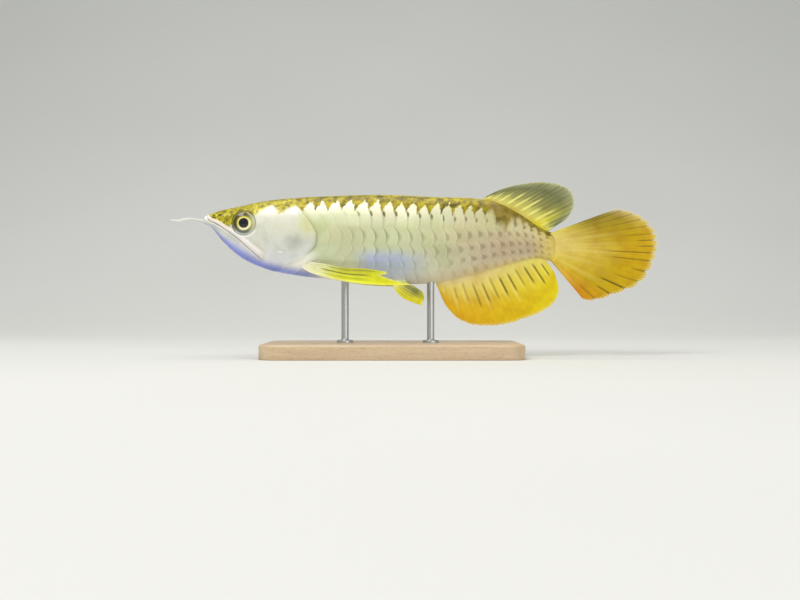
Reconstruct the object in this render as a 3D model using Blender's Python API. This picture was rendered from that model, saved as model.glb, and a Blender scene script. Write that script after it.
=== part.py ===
"""A young gold Asian arowana, life size, held level on a plain two-rod display stand.

The fish looks along -X, so its left side faces -Y, and +Z is up. The origin is the middle of the
stand's underside. Shapes are worked out in millimetres in the fish's own frame, where x runs back
from the tip of the chin and z up from the body's mid line, and are turned to metres at the end.
"""

import math

import bmesh
import bpy
import numpy as np

MM = 0.001
GAP = 0.3  # clearance that neighbouring pieces keep

# Driving sizes, in millimetres
BODY_LENGTH = 197.0  # chin to the end of the tail stem
CHIN_BEFORE_ORIGIN = 104.0
BASE_SIZE = (140.0, 70.0, 8.0)
FIN_CLEARANCE = 9.0  # from the lowest fin edge to the top of the base
LOWEST_FIN = -47.2  # height of the anal fin's edge in the fish's frame
MID_HEIGHT = BASE_SIZE[2] + FIN_CLEARANCE - LOWEST_FIN

# Side outline: (distance behind the chin, height)
BACK = ((0, 11.8), (2.5, 13.2), (8, 15.4), (19, 17.9), (34, 21.1), (51, 22.9), (67, 23.8), (101, 24.6),
        (128, 23.4), (152, 22.3), (162, 20.2), (174, 14.2), (185, 6.8), (190, 4.4), (197, 3.8))
BELLY = ((0, 9.0), (3.6, 7.9), (10.7, -0.3), (18.4, -7.6), (35, -16.0), (53, -19.6), (75, -22.0),
         (102, -23.8), (127, -23.5), (149, -18.9), (173, -12.2), (183, -10.2), (190, -11.4), (197, -13.8))
CHIN_HEIGHT = 10.2
NOSE_ROUND = 2.0  # length over which the chin's tip is rounded

# Top outline and the form of the cross-section along the body
HALF_WIDTH = ((0, 2.6), (3, 4.1), (8, 5.4), (15, 6.9), (24, 8.6), (36, 10.2), (50, 11.3), (70, 11.9),
              (100, 12.0), (128, 11.0), (150, 8.7), (170, 6.0), (185, 3.9), (197, 2.3))
WIDEST_SHARE = ((0, 0.5), (20, 0.62), (45, 0.56), (80, 0.56), (130, 0.58), (170, 0.52), (197, 0.5))
BACK_SQUARENESS = ((0, 0.85), (12, 0.72), (40, 0.72), (75, 0.82), (130, 0.9), (170, 1.0), (197, 1.0))
KEEL_SHARPNESS = ((0, 0.95), (20, 0.98), (45, 1.1), (75, 1.25), (125, 1.3), (170, 1.15), (197, 1.0))

# Gill opening: (share of the half girth from back to belly, distance behind the chin)
GILL_EDGE = ((0, 49.0), (0.12, 50.2), (0.2, 52.4), (0.3, 57.0), (0.4, 60.9), (0.5, 63.2), (0.58, 62.9),
             (0.66, 60.0), (0.74, 54.9), (0.86, 46.1), (1.0, 39.0))
GILL_TUCK = 0.8  # the trunk starts this much inside the gill cover
TUCK_FADE = 3.5

# Scales: columns from gill to tail, rows on each side from back to belly
COLUMN_STARTS = ((0, 57.8), (3, 75.6), (8, 107.0), (13, 138.5), (18, 166.4), (22, 185.6), (23, 190.5))
COLUMNS = 23
VENT_COLUMN = 10  # the trunk ends and the tail stem starts here
ROWS = 6
ROW_EDGES = (0.0, 0.16, 0.42, 0.575, 0.705, 0.825, 1.0)  # shares of the half girth between the rows in front
EVEN_ROWS = (15, 21)  # columns between which the rows come to share the girth evenly
COLUMN_LEAN = ((0, 9.0), (12, 9.0), (18, 6.5), (23, 1.0))  # how far a column's belly end lies behind its top
GILL_FADE = 7.0  # columns over which the gill opening's curve dies out
SCALE_BULGE = 1.5
SCALE_STEP = 0.42
ROW_STEPS = 4
COLUMN_STEPS = ((0.0, 0.0), (0.94, 1.0))  # (share of the scale's length, share of its rise)
MIDLINE_FADE = 0.09  # share of the half girth over which scales flatten towards back and belly ridges

# Head
HEAD_RINGS = 16
EYE_CENTRE = (23.8, 8.7)
EYE_RADIUS = 6.3
EYE_DEPTH = 3.9
EYE_PROUD = 1.1
MOUTH_LINE = ((2.4, 15.0), (2.8, 12.6), (4.8, 10.3), (8.0, 8.8), (14.5, 4.7), (19.9, 0.8), (25.8, -4.6),
              (32.1, -10.2))
JAW_REAR = (38.0, -21.0)
# Bands along the mouth line: ends, (share along, distance) of the near edge and of the far edge, rise
MAXILLA = ((9.4, 31.5), ((0, 0.6), (1, 0.6)), ((0, 2.6), (0.45, 1.9), (0.75, 3.2), (1, 4.2)), 0.6)
LOWER_LIP = ((6.2, 30.1), ((0, -0.3), (1, -0.3)), ((0, -1.7), (1, -2.2)), 0.5)
NOSTRILS = ((7.2, 13.0, 0.45), (10.5, 13.0, 0.6))  # x, z and radius

# Gill cover: (share of the half girth, distance behind the chin) of its front edge
COVER_FRONT = ((0.25, 43.9), (0.4, 40.4), (0.6, 40.9), (0.72, 43.9), (0.8, 46.3))
COVER_ENDS = (0.27, 0.765)
COVER_DEPTH = 1.3
COVER_PROUD = 0.35

# Fins in the middle plane: (share along the fin, root x, root z, tip x, tip z)
DORSAL_RAYS = ((0, 153.0, 22.4, 156.8, 24.6), (0.06, 155.0, 22.3, 162.4, 27.4),
               (0.14, 157.2, 22.0, 169.4, 29.6), (0.26, 161.2, 20.8, 178.2, 31.3),
               (0.4, 166.6, 18.5, 188.4, 31.8), (0.54, 171.7, 15.9, 196.4, 30.2),
               (0.66, 176.3, 13.1, 201.6, 27.2),
               (0.76, 180.0, 10.6, 203.8, 22.6), (0.86, 184.0, 7.8, 203.4, 17.4),
               (0.94, 187.2, 6.0, 199.4, 11.4), (1, 189.6, 4.9, 194.0, 8.0))
DORSAL_COUNT = 20
ANAL_RAYS = ((0, 128.0, -24.0, 130.1, -29.0), (0.05, 130.6, -23.6, 133.4, -36.0),
             (0.1, 133.6, -23.0, 138.6, -42.0), (0.18, 138.4, -22.0, 146.0, -46.0),
             (0.3, 146.0, -20.2, 156.5, -47.1), (0.44, 154.4, -17.9, 167.4, -46.1),
             (0.58, 162.9, -15.4, 177.6, -42.9),
             (0.72, 171.4, -13.0, 187.4, -38.7), (0.84, 179.0, -11.2, 193.6, -33.2),
             (0.93, 184.6, -10.9, 195.3, -26.4), (1, 188.6, -11.3, 193.2, -18.6))
ANAL_COUNT = 26
TAIL_RAYS = ((0, 191.4, 4.1, 223.9, 16.1), (0.1, 191.6, 3.2, 230.0, 17.1), (0.25, 191.8, 0.6, 242.5, 11.8),
             (0.4, 191.9, -1.8, 249.4, 2.2), (0.5, 191.9, -3.4, 250.0, -3.4),
             (0.62, 191.9, -5.4, 247.8, -11.4), (0.75, 191.9, -7.6, 240.4, -23.4),
             (0.87, 191.9, -9.7, 225.5, -30.2), (0.95, 191.9, -11.6, 214.6, -33.4),
             (1, 191.9, -12.8, 209.0, -33.0))
TAIL_COUNT = 16
# Half thickness at the root, of the web and at the edge, rise of a ray, share a web ends short of its ray
FIN_HALF = {"dorsal_fin": (0.75, 0.27, 0.26, 0.28, 0.02), "anal_fin": (0.8, 0.27, 0.26, 0.28, 0.02),
            "caudal_fin": (2.1, 0.3, 0.27, 0.32, 0.03), "pectoral_fin": (0.9, 0.3, 0.27, 0.34, 0.03),
            "pelvic_fin": (0.8, 0.28, 0.26, 0.3, 0.03)}
RAY_POINTS = (0.0, 0.3, 0.6)  # shares of the way to the next ray: a ray's foot, crest and other foot
RAY_STEPS = 4

# Paired fins, right side: the paths of the first and last ray as (share along, x, outwards, z)
PECTORAL_FIRST = ((0, 53.7, 5.4, -14.2), (0.07, 56.9, 9.6, -16.6), (0.25, 65.6, 13.2, -20.0),
                  (0.5, 81.0, 17.6, -23.4), (0.75, 98.0, 21.4, -25.0), (1, 115.1, 25.0, -24.9))
PECTORAL_LAST = ((0, 57.5, 7.0, -11.4), (0.07, 60.9, 11.4, -12.4), (0.25, 67.6, 13.2, -13.4),
                 (0.5, 77.5, 14.4, -15.6), (0.75, 89.5, 15.6, -16.2), (1, 100.9, 17.4, -17.8))
PECTORAL_LENGTHS = ((0, 1.0), (0.2, 0.94), (0.45, 0.9), (0.62, 0.86), (0.8, 0.96), (1, 1.0))
PECTORAL_COUNT = 7
PELVIC_FIRST = ((0, 103.6, 1.6, -21.0), (0.2, 104.8, 4.0, -26.0), (0.5, 109.0, 7.0, -31.2),
                (1, 120.5, 12.0, -36.1))
PELVIC_LAST = ((0, 110.4, 2.6, -20.4), (0.2, 112.2, 4.6, -23.4), (0.5, 115.6, 6.4, -25.2),
               (1, 121.6, 9.0, -29.4))
PELVIC_LENGTHS = ((0, 1.0), (0.35, 1.0), (0.6, 1.06), (0.85, 1.0), (1, 0.96))
PELVIC_COUNT = 6

BARBEL_PATH = ((0, 1.8, 1.5, 10.2), (0.15, -1.2, 1.8, 10.8), (0.5, -8.0, 2.6, 11.6), (0.8, -13.5, 3.0, 10.6),
               (1, -17.4, 3.3, 10.9))
BARBEL_RADII = (0.55, 0.3)

ROD_RADIUS = 2.0
ROD_PLACES = {"stand_rod_front": 78.1, "stand_rod_rear": 125.0}
ROD_FOOT = (4.5, 1.4)  # radius and height of the flange at a rod's lower end
BASE_CORNER = 9.0
BASE_BEVEL = 1.6


def smooth(table, x):
    """A curve through (x, value) pairs: cubic pieces, with each slope taken from both neighbours."""
    knots, values = np.array(table, float).T
    slopes = np.gradient(values, knots)
    x = np.asarray(x, float)
    i = np.clip(np.searchsorted(knots, x, side="right") - 1, 0, len(knots) - 2)
    span = knots[i + 1] - knots[i]
    t = np.clip((x - knots[i]) / span, 0, 1)
    return (
        values[i] * (1 + 2 * t) * (1 - t) ** 2
        + values[i + 1] * t * t * (3 - 2 * t)
        + span * (slopes[i] * t * (1 - t) ** 2 - slopes[i + 1] * t * t * (1 - t))
    )


def ease(t):
    """0 below 0, 1 above 1, and a smooth step between."""
    t = np.clip(t, 0, 1)
    return t * t * (3 - 2 * t)


def outline(x):
    """Top, bottom and half width of the body at x, drawn in to a round tip at the chin."""
    nose = np.sqrt(np.clip(1 - (1 - np.clip(x / NOSE_ROUND, 0, 1)) ** 2, 1e-9, 1))
    top = CHIN_HEIGHT + (smooth(BACK, x) - CHIN_HEIGHT) * nose
    bottom = CHIN_HEIGHT + (smooth(BELLY, x) - CHIN_HEIGHT) * nose
    return top, bottom, smooth(HALF_WIDTH, x) * nose


def section(x, angle):
    """Half width and height of the body's cross-section at x, with the angle running from back to belly."""
    top, bottom, half = outline(x)
    widest = bottom + (top - bottom) * smooth(WIDEST_SHARE, x)
    c, s = np.cos(angle), np.clip(np.sin(angle), 0, 1)
    square = smooth(BACK_SQUARENESS, x)
    upper = widest + (top - widest) * np.abs(c) ** square
    lower = widest - (widest - bottom) * np.abs(c) ** 0.92
    y = half * s ** np.where(c > 0, square, smooth(KEEL_SHARPNESS, x))
    return y, np.where(c > 0, upper, lower)


def girth_table():
    """For stations along the body, the section angle at each of many equal steps of the half girth."""
    stations = np.linspace(0.02, BODY_LENGTH, 300)
    angles = np.linspace(0, math.pi, 241)
    y, z = section(stations[:, None], angles[None, :])
    steps = np.hypot(np.diff(y), np.diff(z))
    run = np.concatenate([np.zeros((len(stations), 1)), steps.cumsum(axis=1)], axis=1)
    shares = np.linspace(0, 1, 121)
    return stations, shares, np.array([np.interp(shares, r / r[-1], angles) for r in run]), run[:, -1]


STATIONS, SHARES, ANGLES, HALF_GIRTHS = girth_table()


def angle_at(x, share):
    """Section angle at x where that share of the half girth is reached, read between the table's entries."""
    i = np.clip((x - STATIONS[0]) / (STATIONS[1] - STATIONS[0]), 0, len(STATIONS) - 1.001)
    j = np.clip(share * (len(SHARES) - 1), 0, len(SHARES) - 1.001)
    i0, j0 = i.astype(int), j.astype(int)
    a, b = i - i0, j - j0
    near = ANGLES[i0, j0] * (1 - b) + ANGLES[i0, j0 + 1] * b
    far = ANGLES[i0 + 1, j0] * (1 - b) + ANGLES[i0 + 1, j0 + 1] * b
    return near * (1 - a) + far * a


def skin(x, share, lift=0.0, depth=1.0):
    """Points on the body. share is the signed share of the half girth from the back, negative on the left.

    lift moves a point out along the section's normal, and depth below 1 draws it in to the body's middle.
    """
    x, share, lift, depth = np.broadcast_arrays(*(np.asarray(v, float) for v in (x, share, lift, depth)))
    angle = angle_at(x, np.abs(share))
    y, z = section(x, angle)
    inner = np.clip(angle, 0.02, math.pi - 0.02)
    y0, z0 = section(x, inner - 0.01)
    y1, z1 = section(x, inner + 0.01)
    length = np.hypot(y1 - y0, z1 - z0)
    on_ridge = (np.abs(share) < 1e-6) | (np.abs(share) > 1 - 1e-6)
    y = np.where(on_ridge, 0, y + lift * (z0 - z1) / length)
    z = z + lift * (y1 - y0) / length
    top, bottom, _ = outline(x)
    middle = (top + bottom) / 2
    return np.stack([x, np.sign(share) * y * depth, middle + (z - middle) * depth], axis=-1)


def flank(x, z):
    """Half width of the body at x and height z."""
    top, bottom, half = outline(x)
    widest = bottom + (top - bottom) * smooth(WIDEST_SHARE, x)
    square = smooth(BACK_SQUARENESS, x)
    up = np.clip((z - widest) / (top - widest), 0, 1) ** (1 / square)
    down = np.clip((widest - z) / (widest - bottom), 0, 1) ** (1 / 0.92)
    above = (1 - up**2) ** (square / 2)
    below = (1 - down**2) ** (smooth(KEEL_SHARPNESS, x) / 2)
    return half * np.where(z > widest, above, below)


def round_levels():
    """Signed row levels once round the body, from the back down the right side and up the left."""
    right = np.arange(ROWS * ROW_STEPS + 1) / ROW_STEPS
    return np.concatenate([right, -right[-2:0:-1]])


def row_share(level, column):
    """Signed share of the half girth at a row level, which runs from 0 on the back to ROWS on the belly."""
    own = np.interp(np.abs(level), np.arange(ROWS + 1), ROW_EDGES)
    first, last = EVEN_ROWS
    even = np.abs(level) / ROWS
    return np.sign(level) * (own + (even - own) * ease((column - first) / (last - first)))


def within_row(level):
    """Place across a row, from -0.5 at its upper side to 0.5 at its lower side."""
    level = np.minimum(np.abs(level), ROWS - 1e-9)
    return level - np.floor(level) - 0.5


def ring_faces(rings, around):
    """Triangles of a stack of closed rings, with one pole before the first ring and one after the last."""
    k, j = np.meshgrid(np.arange(rings - 1), np.arange(around), indexing="ij")
    a, b = 1 + k * around + j, 1 + k * around + (j + 1) % around
    c, d = a + around, b + around
    sides = np.concatenate([np.stack([a, b, d], -1).reshape(-1, 3), np.stack([a, d, c], -1).reshape(-1, 3)])
    j = np.arange(around)
    last = 1 + (rings - 1) * around
    front = np.stack([np.zeros(around, int), 1 + (j + 1) % around, 1 + j], -1)
    rear = np.stack([np.full(around, last + around), last + j, last + (j + 1) % around], -1)
    return np.concatenate([front, sides, rear])


def ring_stack(first, rings, last):
    """Points and triangles of a closed body made of rings between two poles."""
    rings = np.asarray(rings)
    points = np.concatenate([[first], rings.reshape(-1, 3), [last]])
    return points, ring_faces(len(rings), rings.shape[1])


def box_stack(lower, upper):
    """Points and triangles of a solid between two alike grids of points, joined round their edges.

    Both grids are split along the same diagonals, so that a thin curved solid never crosses itself.
    """
    rows, columns = lower.shape[:2]
    index = np.arange(rows * columns).reshape(rows, columns)
    a, b, c, d = index[:-1, :-1], index[:-1, 1:], index[1:, :-1], index[1:, 1:]
    face = np.concatenate([np.stack([a, b, d], -1).reshape(-1, 3), np.stack([a, d, c], -1).reshape(-1, 3)])
    rim = np.concatenate([index[0, :-1], index[:-1, -1], index[-1, :0:-1], index[:0:-1, 0]])
    after = np.roll(rim, -1)
    more = rows * columns
    wall_a = np.stack([after, rim, rim + more], -1)
    wall_b = np.stack([after, rim + more, after + more], -1)
    points = np.concatenate([lower.reshape(-1, 3), upper.reshape(-1, 3)])
    return points, np.concatenate([face, face[:, ::-1] + more, wall_a, wall_b])


def volume(points, faces):
    return np.linalg.det(points[faces]).sum() / 6


def material(name, colour, roughness, metallic=0.0):
    made = bpy.data.materials.get(name) or bpy.data.materials.new(name)
    made.use_nodes = True
    shader = made.node_tree.nodes["Principled BSDF"]
    shader.inputs["Base Color"].default_value = (*colour, 1.0)
    shader.inputs["Roughness"].default_value = roughness
    shader.inputs["Metallic"].default_value = metallic
    return made


def scale_skin():
    return material("scale_skin", (0.62, 0.62, 0.42), 0.3, 0.3)


def fin_membrane():
    return material("fin_membrane", (0.80, 0.56, 0.05), 0.4)


def eye_gloss():
    return material("eye_gloss", (0.55, 0.48, 0.15), 0.1)


def stand_steel():
    return material("stand_steel", (0.60, 0.60, 0.61), 0.3, 1.0)


def stand_wood():
    return material("stand_wood", (0.52, 0.38, 0.23), 0.5)


def add(name, shape, finish):
    """Makes an object of points in the fish's frame, in millimetres, with its faces outwards."""
    points, faces = shape
    if volume(points, faces) < 0:
        faces = faces[:, ::-1]
    placed = (points + np.array([-CHIN_BEFORE_ORIGIN, 0, MID_HEIGHT])) * MM
    mesh = bpy.data.meshes.new(name)
    mesh.from_pydata(placed.tolist(), [], faces.tolist())
    mesh.validate()
    mesh.shade_smooth()
    mesh.set_sharp_from_angle(angle=math.radians(35))
    mesh.materials.append(finish)
    made = bpy.data.objects.new(name, mesh)
    bpy.context.scene.collection.objects.link(made)
    return made


def combine(target, others, operation):
    """Applies one Boolean of the other objects to the target, and removes them."""
    group = bpy.data.collections.new("cutters")
    bpy.context.scene.collection.children.link(group)
    for other in others:
        group.objects.link(other)
        bpy.context.scene.collection.objects.unlink(other)
    modifier = target.modifiers.new(operation.lower(), "BOOLEAN")
    modifier.operation = operation
    modifier.operand_type = "COLLECTION"
    modifier.collection = group
    modifier.solver = "EXACT"
    graph = bpy.context.evaluated_depsgraph_get()
    joined = bpy.data.meshes.new_from_object(target.evaluated_get(graph))
    joined.set_sharp_from_angle(angle=math.radians(35))
    target.modifiers.clear()
    target.data = joined
    for other in others:
        bpy.data.objects.remove(other)
    bpy.data.collections.remove(group)
    return target


def copy_of(source, name):
    made = source.copy()
    made.data = source.data.copy()
    made.name = name
    bpy.context.scene.collection.objects.link(made)
    return made


def largest_body(target):
    """Keeps only the largest closed surface of a cut object."""
    mesh = bmesh.new()
    mesh.from_mesh(target.data)
    left = set(mesh.verts)
    bodies = []
    while left:
        todo = [left.pop()]
        found = list(todo)
        while todo:
            for edge in todo.pop().link_edges:
                for vert in edge.verts:
                    if vert in left:
                        left.remove(vert)
                        todo.append(vert)
                        found.append(vert)
        bodies.append(found)
    bodies.sort(key=len)
    small = [vert for body in bodies[:-1] for vert in body]
    bmesh.ops.delete(mesh, geom=small, context="VERTS")
    mesh.to_mesh(target.data)
    mesh.free()
    return target


def gill_x(share):
    """How far behind the chin the gill opening lies, straight between the places that rings have points."""
    places = row_share(np.arange(ROWS * ROW_STEPS + 1) / ROW_STEPS, 0)
    return np.interp(np.abs(share), places, smooth(GILL_EDGE, places))


def cap_rings(x_edge, share, lift, shift, order):
    """Rings that close a body's end, drawn in to its middle on a dished face that neighbours share."""
    centre = float(np.mean(x_edge))
    rings = []
    for depth in order:
        x = x_edge + (centre - x_edge) * (1 - depth) ** 2
        rings.append(skin(x + shift, share, lift * depth, depth))
    pole = skin(np.array([centre + shift]), np.array([0.5]), 0.0, 0.0)[0]
    return rings, pole


def head_whole(name, lift=0.0):
    """The head from the chin to the gill opening, as rings that open out from the chin's tip."""
    share = row_share(round_levels(), 0)
    edge = gill_x(share)
    steps = (np.arange(1, HEAD_RINGS + 1) / HEAD_RINGS) ** 1.25
    rings = [skin(edge * step, share, lift * min(1.0, 8 * step)) for step in steps]
    closing, pole = cap_rings(edge, share, lift, 0.0, (0.8, 0.5))
    return add(name, ring_stack(np.array([0.0, 0.0, CHIN_HEIGHT]), rings + closing, pole), scale_skin())


def column_x(column, level):
    """Where a column line of scales lies: straight and leaning, but curved near the gill opening."""
    share = np.abs(row_share(level, column))
    plain = smooth(COLUMN_STARTS, column) + smooth(COLUMN_LEAN, column) * share
    first = COLUMN_STARTS[0][1] + COLUMN_LEAN[0][1] * share
    bend = (1 - ease(column / GILL_FADE)) * (gill_x(share) - first)
    scallop = SCALE_BULGE * (1 - 4 * within_row(level) ** 2) * ease(column) * ease((COLUMNS - column) / 2)
    return plain + bend + scallop


def scale_lift(x, column, level, rise):
    """How far a scale stands out, from 0 at its front to the full step at its rear edge."""
    share = np.abs(row_share(level, column))
    dome = 1 - 2.4 * within_row(level) ** 2
    ridge = ease(share / MIDLINE_FADE) * ease((1 - share) / MIDLINE_FADE)
    behind_cover = ease((share - 0.16) / 0.1)
    tuck = -GILL_TUCK * behind_cover * np.exp(-np.maximum(x - gill_x(share), 0) / TUCK_FADE)
    return SCALE_STEP * rise * dome * ridge * ease((COLUMNS - column) / 4) + tuck


def scaled_body(name, first, last, grow=0.0):
    """The body between two column lines, where each scale rises to its rear edge and drops to the next."""
    level = round_levels()
    rings = []
    for column in range(first, last):
        for along, rise in COLUMN_STEPS:
            place = column + along
            x = column_x(place, level) + (GAP if place == first else 0.0)
            rings.append(skin(x, row_share(level, place), scale_lift(x, place, level, rise) + grow))
    end, end_share = column_x(last, level), row_share(level, last)
    rings.append(skin(end, end_share, scale_lift(end, last, level, 0.0) + grow))
    start, start_share = column_x(first, level), row_share(level, first)
    inward = scale_lift(start, first, level, 0.0)
    front, front_pole = cap_rings(start, start_share, inward, GAP, (0.5, 0.8))
    rear, rear_pole = cap_rings(end, end_share, 0.0, 0.0, (0.8, 0.5))
    return add(name, ring_stack(front_pole, front + rings + rear, rear_pole), scale_skin())


def tube(path, radii, sides):
    """Points and triangles of a round rod along a path, each cross-section standing square to it."""
    path = np.asarray(path, float)
    along = np.gradient(path, axis=0)
    along /= np.linalg.norm(along, axis=1)[:, None]
    side = np.cross(along, np.array([0.0, 0.31, 0.95]))
    side /= np.linalg.norm(side, axis=1)[:, None]
    other = np.cross(along, side)
    turn = np.arange(sides) / sides * math.tau
    ring = side[:, None] * np.cos(turn)[None, :, None] + other[:, None] * np.sin(turn)[None, :, None]
    rings = path[:, None] + ring * np.asarray(radii)[:, None, None]
    return ring_stack(path[0], rings, path[-1])


def lathe(profile, sides, centre, axis):
    """Points and triangles of a round solid: profile lists (radius, height) along axis, poles left out."""
    turn = np.arange(sides) / sides * math.tau
    a, b = [v for v in range(3) if v != axis]
    rings = []
    for radius, height in profile:
        ring = np.zeros((sides, 3))
        ring[:, a], ring[:, b], ring[:, axis] = radius * np.cos(turn), radius * np.sin(turn), height
        rings.append(ring + centre)
    first, last = np.array(centre, float), np.array(centre, float)
    first[axis] += profile[0][1]
    last[axis] += profile[-1][1]
    return ring_stack(first, rings, last)


def prism(name, profile, half_width):
    """A solid with the given (x, z) outline, from -half_width to half_width across."""
    near = np.array([[x, -half_width, z] for x, z in profile], float)
    far = near * np.array([1, -1, 1])
    count = len(profile)
    mesh = bpy.data.meshes.new(name)
    placed = (np.concatenate([near, far]) + np.array([-CHIN_BEFORE_ORIGIN, 0, MID_HEIGHT])) * MM
    sides = [[k, (k + 1) % count, count + (k + 1) % count, count + k] for k in range(count)]
    faces = [list(range(count))[::-1], list(range(count, 2 * count))] + sides
    mesh.from_pydata(placed.tolist(), [], faces)
    made = bpy.data.objects.new(name, mesh)
    bpy.context.scene.collection.objects.link(made)
    tidy = bmesh.new()
    tidy.from_mesh(mesh)
    bmesh.ops.recalc_face_normals(tidy, faces=tidy.faces)
    tidy.to_mesh(mesh)
    tidy.free()
    return made


def jaw_region(name, grow):
    """A prism round the lower jaw, below and in front of the line of the mouth."""
    line = np.array(MOUTH_LINE + (JAW_REAR,), float)
    along = np.gradient(line, axis=0)
    along /= np.linalg.norm(along, axis=1)[:, None]
    line = line + np.stack([-along[:, 1], along[:, 0]], axis=1) * grow
    around = [tuple(p) for p in line] + [(34.0, -45.0), (-20.0, -45.0), (-20.0, 25.0), (line[0][0], 25.0)]
    return prism(name, around, 25.0)


def eye_profile(grow, open_out):
    """(radius, distance outwards) down the eye, flatter outside than in, for the eyeball or its socket."""
    steps = np.linspace(-0.93, 0.93, 9) * math.pi / 2
    rows = []
    for turn in steps:
        reach = EYE_PROUD + 0.7 if turn > 0 else EYE_DEPTH
        rows.append(((EYE_RADIUS + grow) * math.cos(turn), (reach + grow) * math.sin(turn)))
    if open_out:
        rows = [row for row in rows if row[1] <= 0.01] + [(EYE_RADIUS + grow + 0.6, 4.0)]
    return rows


def eye_solid(name, side, grow, open_out):
    x, z = EYE_CENTRE
    y = float(flank(np.array(x), np.array(z))) - 0.7
    rows = [(r, side * h) for r, h in eye_profile(grow, open_out)]
    return add(name, lathe(rows, 24, np.array([x, side * y, z]), 1), eye_gloss())


def gill_cover(name, side, grow):
    """The curved plate over the gills on one side. grow makes the larger copy that cuts its bed."""
    top, bottom = COVER_ENDS
    pad = 0.006 if grow else 0.0
    share = np.linspace(top - pad, bottom + pad, 13)[:, None]
    along = np.linspace(0, 1, 6)[None, :]
    front = smooth(COVER_FRONT, share) - (GAP if grow else 0.0)
    rear = gill_x(share) + (2.0 if grow else -0.1)
    inset = 1.2 * (1 - np.sqrt(np.clip(1 - ((share - (top + bottom) / 2) / ((bottom - top) / 2)) ** 4, 0, 1)))
    x = front + inset + (rear - front - inset) * along
    share = np.broadcast_to(share, x.shape)
    thinned = COVER_DEPTH * (1 - 0.45 * along**2)
    lower = skin(x, side * share, -thinned - (GAP if grow else 0.0))
    upper = skin(x, side * share, 2.5 if grow else COVER_PROUD)
    return add(name, box_stack(lower, upper), scale_skin())


def fin_grid(paths, half):
    """Points and triangles of a fin: a middle sheet of points, thickened both ways along its own normal."""
    across = np.gradient(paths, axis=0)
    along = np.gradient(paths, axis=1)
    normal = np.cross(across, along)
    normal /= np.linalg.norm(normal, axis=2)[:, :, None]
    lower, upper = paths - normal * half[:, :, None], paths + normal * half[:, :, None]
    return box_stack(lower, upper)


def ray_places(count):
    """Shares across a fin of its points, and for each how high it stands on its ray, from 0 to 1."""
    places = (np.arange(count)[:, None] + np.array(RAY_POINTS)).ravel()
    heights = np.tile([0.0, 1.0, 0.0], count)
    return places / places[-1], heights


def fin_half(kind, along, heights):
    """Half thickness over a fin's grid: thick at the root, then a web with raised rays, thin at the edge."""
    root, web, edge, rise, _ = FIN_HALF[kind]
    body = web + (root - web) * (1 - ease(along / 0.35)) ** 1.5
    ray = rise * ease((1.02 - along) / 0.25) * ease(0.2 + along / 0.12) * heights[:, None]
    return body + (edge - web) * ease((along - 0.75) / 0.25) + ray


def ray_reach(kind, along, heights):
    """Share of its ray that a point lies out, with the web between rays a little short of their tips."""
    return along * (1 - FIN_HALF[kind][4] * (1 - heights[:, None]) * along**3)


def median_fin(name, table, count):
    """A fin in the body's middle plane, with straight rays from root to tip."""
    across, heights = ray_places(count)
    along = np.linspace(0, 1, RAY_STEPS + 1)[None, :]
    share, root_x, root_z, tip_x, tip_z = (np.array(column, float) for column in zip(*table))
    place = [smooth(np.stack([share, column], 1), across) for column in (root_x, root_z, tip_x, tip_z)]
    root = np.stack([place[0], np.zeros(len(across)), place[1]], -1)
    tip = np.stack([place[2], np.zeros(len(across)), place[3]], -1)
    paths = root[:, None] + (tip - root)[:, None] * ray_reach(name, along, heights)[..., None]
    return add(name, fin_grid(paths, fin_half(name, along, heights)), fin_membrane())


def path_at(table, along):
    share, x, y, z = (np.array(column, float) for column in zip(*table))
    return np.stack([smooth(np.stack([share, column], 1), along) for column in (x, y, z)], -1)


def paired_fin(name, kind, side, first, last, lengths, count):
    """A pectoral or pelvic fin: rays between the paths of its first and last ray, each of its own length."""
    across, heights = ray_places(count)
    along = np.linspace(0, 1, RAY_STEPS + 3)[None, :]
    reach = smooth(lengths, across)[:, None] * ray_reach(kind, along, heights)
    mix = across[:, None, None]
    paths = path_at(first, reach) * (1 - mix) + path_at(last, reach) * mix
    paths[..., 1] *= side
    return add(name, fin_grid(paths, fin_half(kind, along, heights)), fin_membrane())


def barbel(name, side):
    along = np.linspace(0, 1, 9)
    path = path_at(BARBEL_PATH, along)
    path[:, 1] *= side
    radii = BARBEL_RADII[0] + (BARBEL_RADII[1] - BARBEL_RADII[0]) * along
    return add(name, tube(path, radii, 8), scale_skin())


def stand_rod(name, x):
    """A rod with a flat flange at its foot, standing on the base and reaching into the belly to be cut."""
    bottom = BASE_SIZE[2] + GAP - MID_HEIGHT
    flange, height = ROD_FOOT
    profile = ((flange - 0.4, bottom), (flange, bottom + 0.4), (flange, bottom + height - 0.4),
               (flange - 0.4, bottom + height), (ROD_RADIUS, bottom + height), (ROD_RADIUS, -12.0))
    return add(name, lathe(profile, 24, np.array([x, 0, 0]), 2), stand_steel())


def stand_base():
    """A low rounded block with eased upper edges."""
    length, width, height = BASE_SIZE
    turn = np.linspace(0, math.tau, 40, endpoint=False) + math.tau / 80
    rows = [(0.6, 0.0), (0.0, 0.6)]
    rows += [(BASE_BEVEL * (1 - math.cos(t)), height - BASE_BEVEL + BASE_BEVEL * math.sin(t)) for t in
             np.linspace(0, math.pi / 2, 5)]
    rings = []
    for inset, level in rows:
        corner = BASE_CORNER - inset
        x = np.sign(np.cos(turn)) * (length / 2 - BASE_CORNER) + corner * np.cos(turn)
        y = np.sign(np.sin(turn)) * (width / 2 - BASE_CORNER) + corner * np.sin(turn)
        rings.append(np.stack([x + CHIN_BEFORE_ORIGIN, y, np.full(40, level - MID_HEIGHT)], -1))
    first = np.array([CHIN_BEFORE_ORIGIN, 0, -MID_HEIGHT])
    last = np.array([CHIN_BEFORE_ORIGIN, 0, height - MID_HEIGHT])
    return add("stand_base", ring_stack(first, rings, last), stand_wood())


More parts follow.
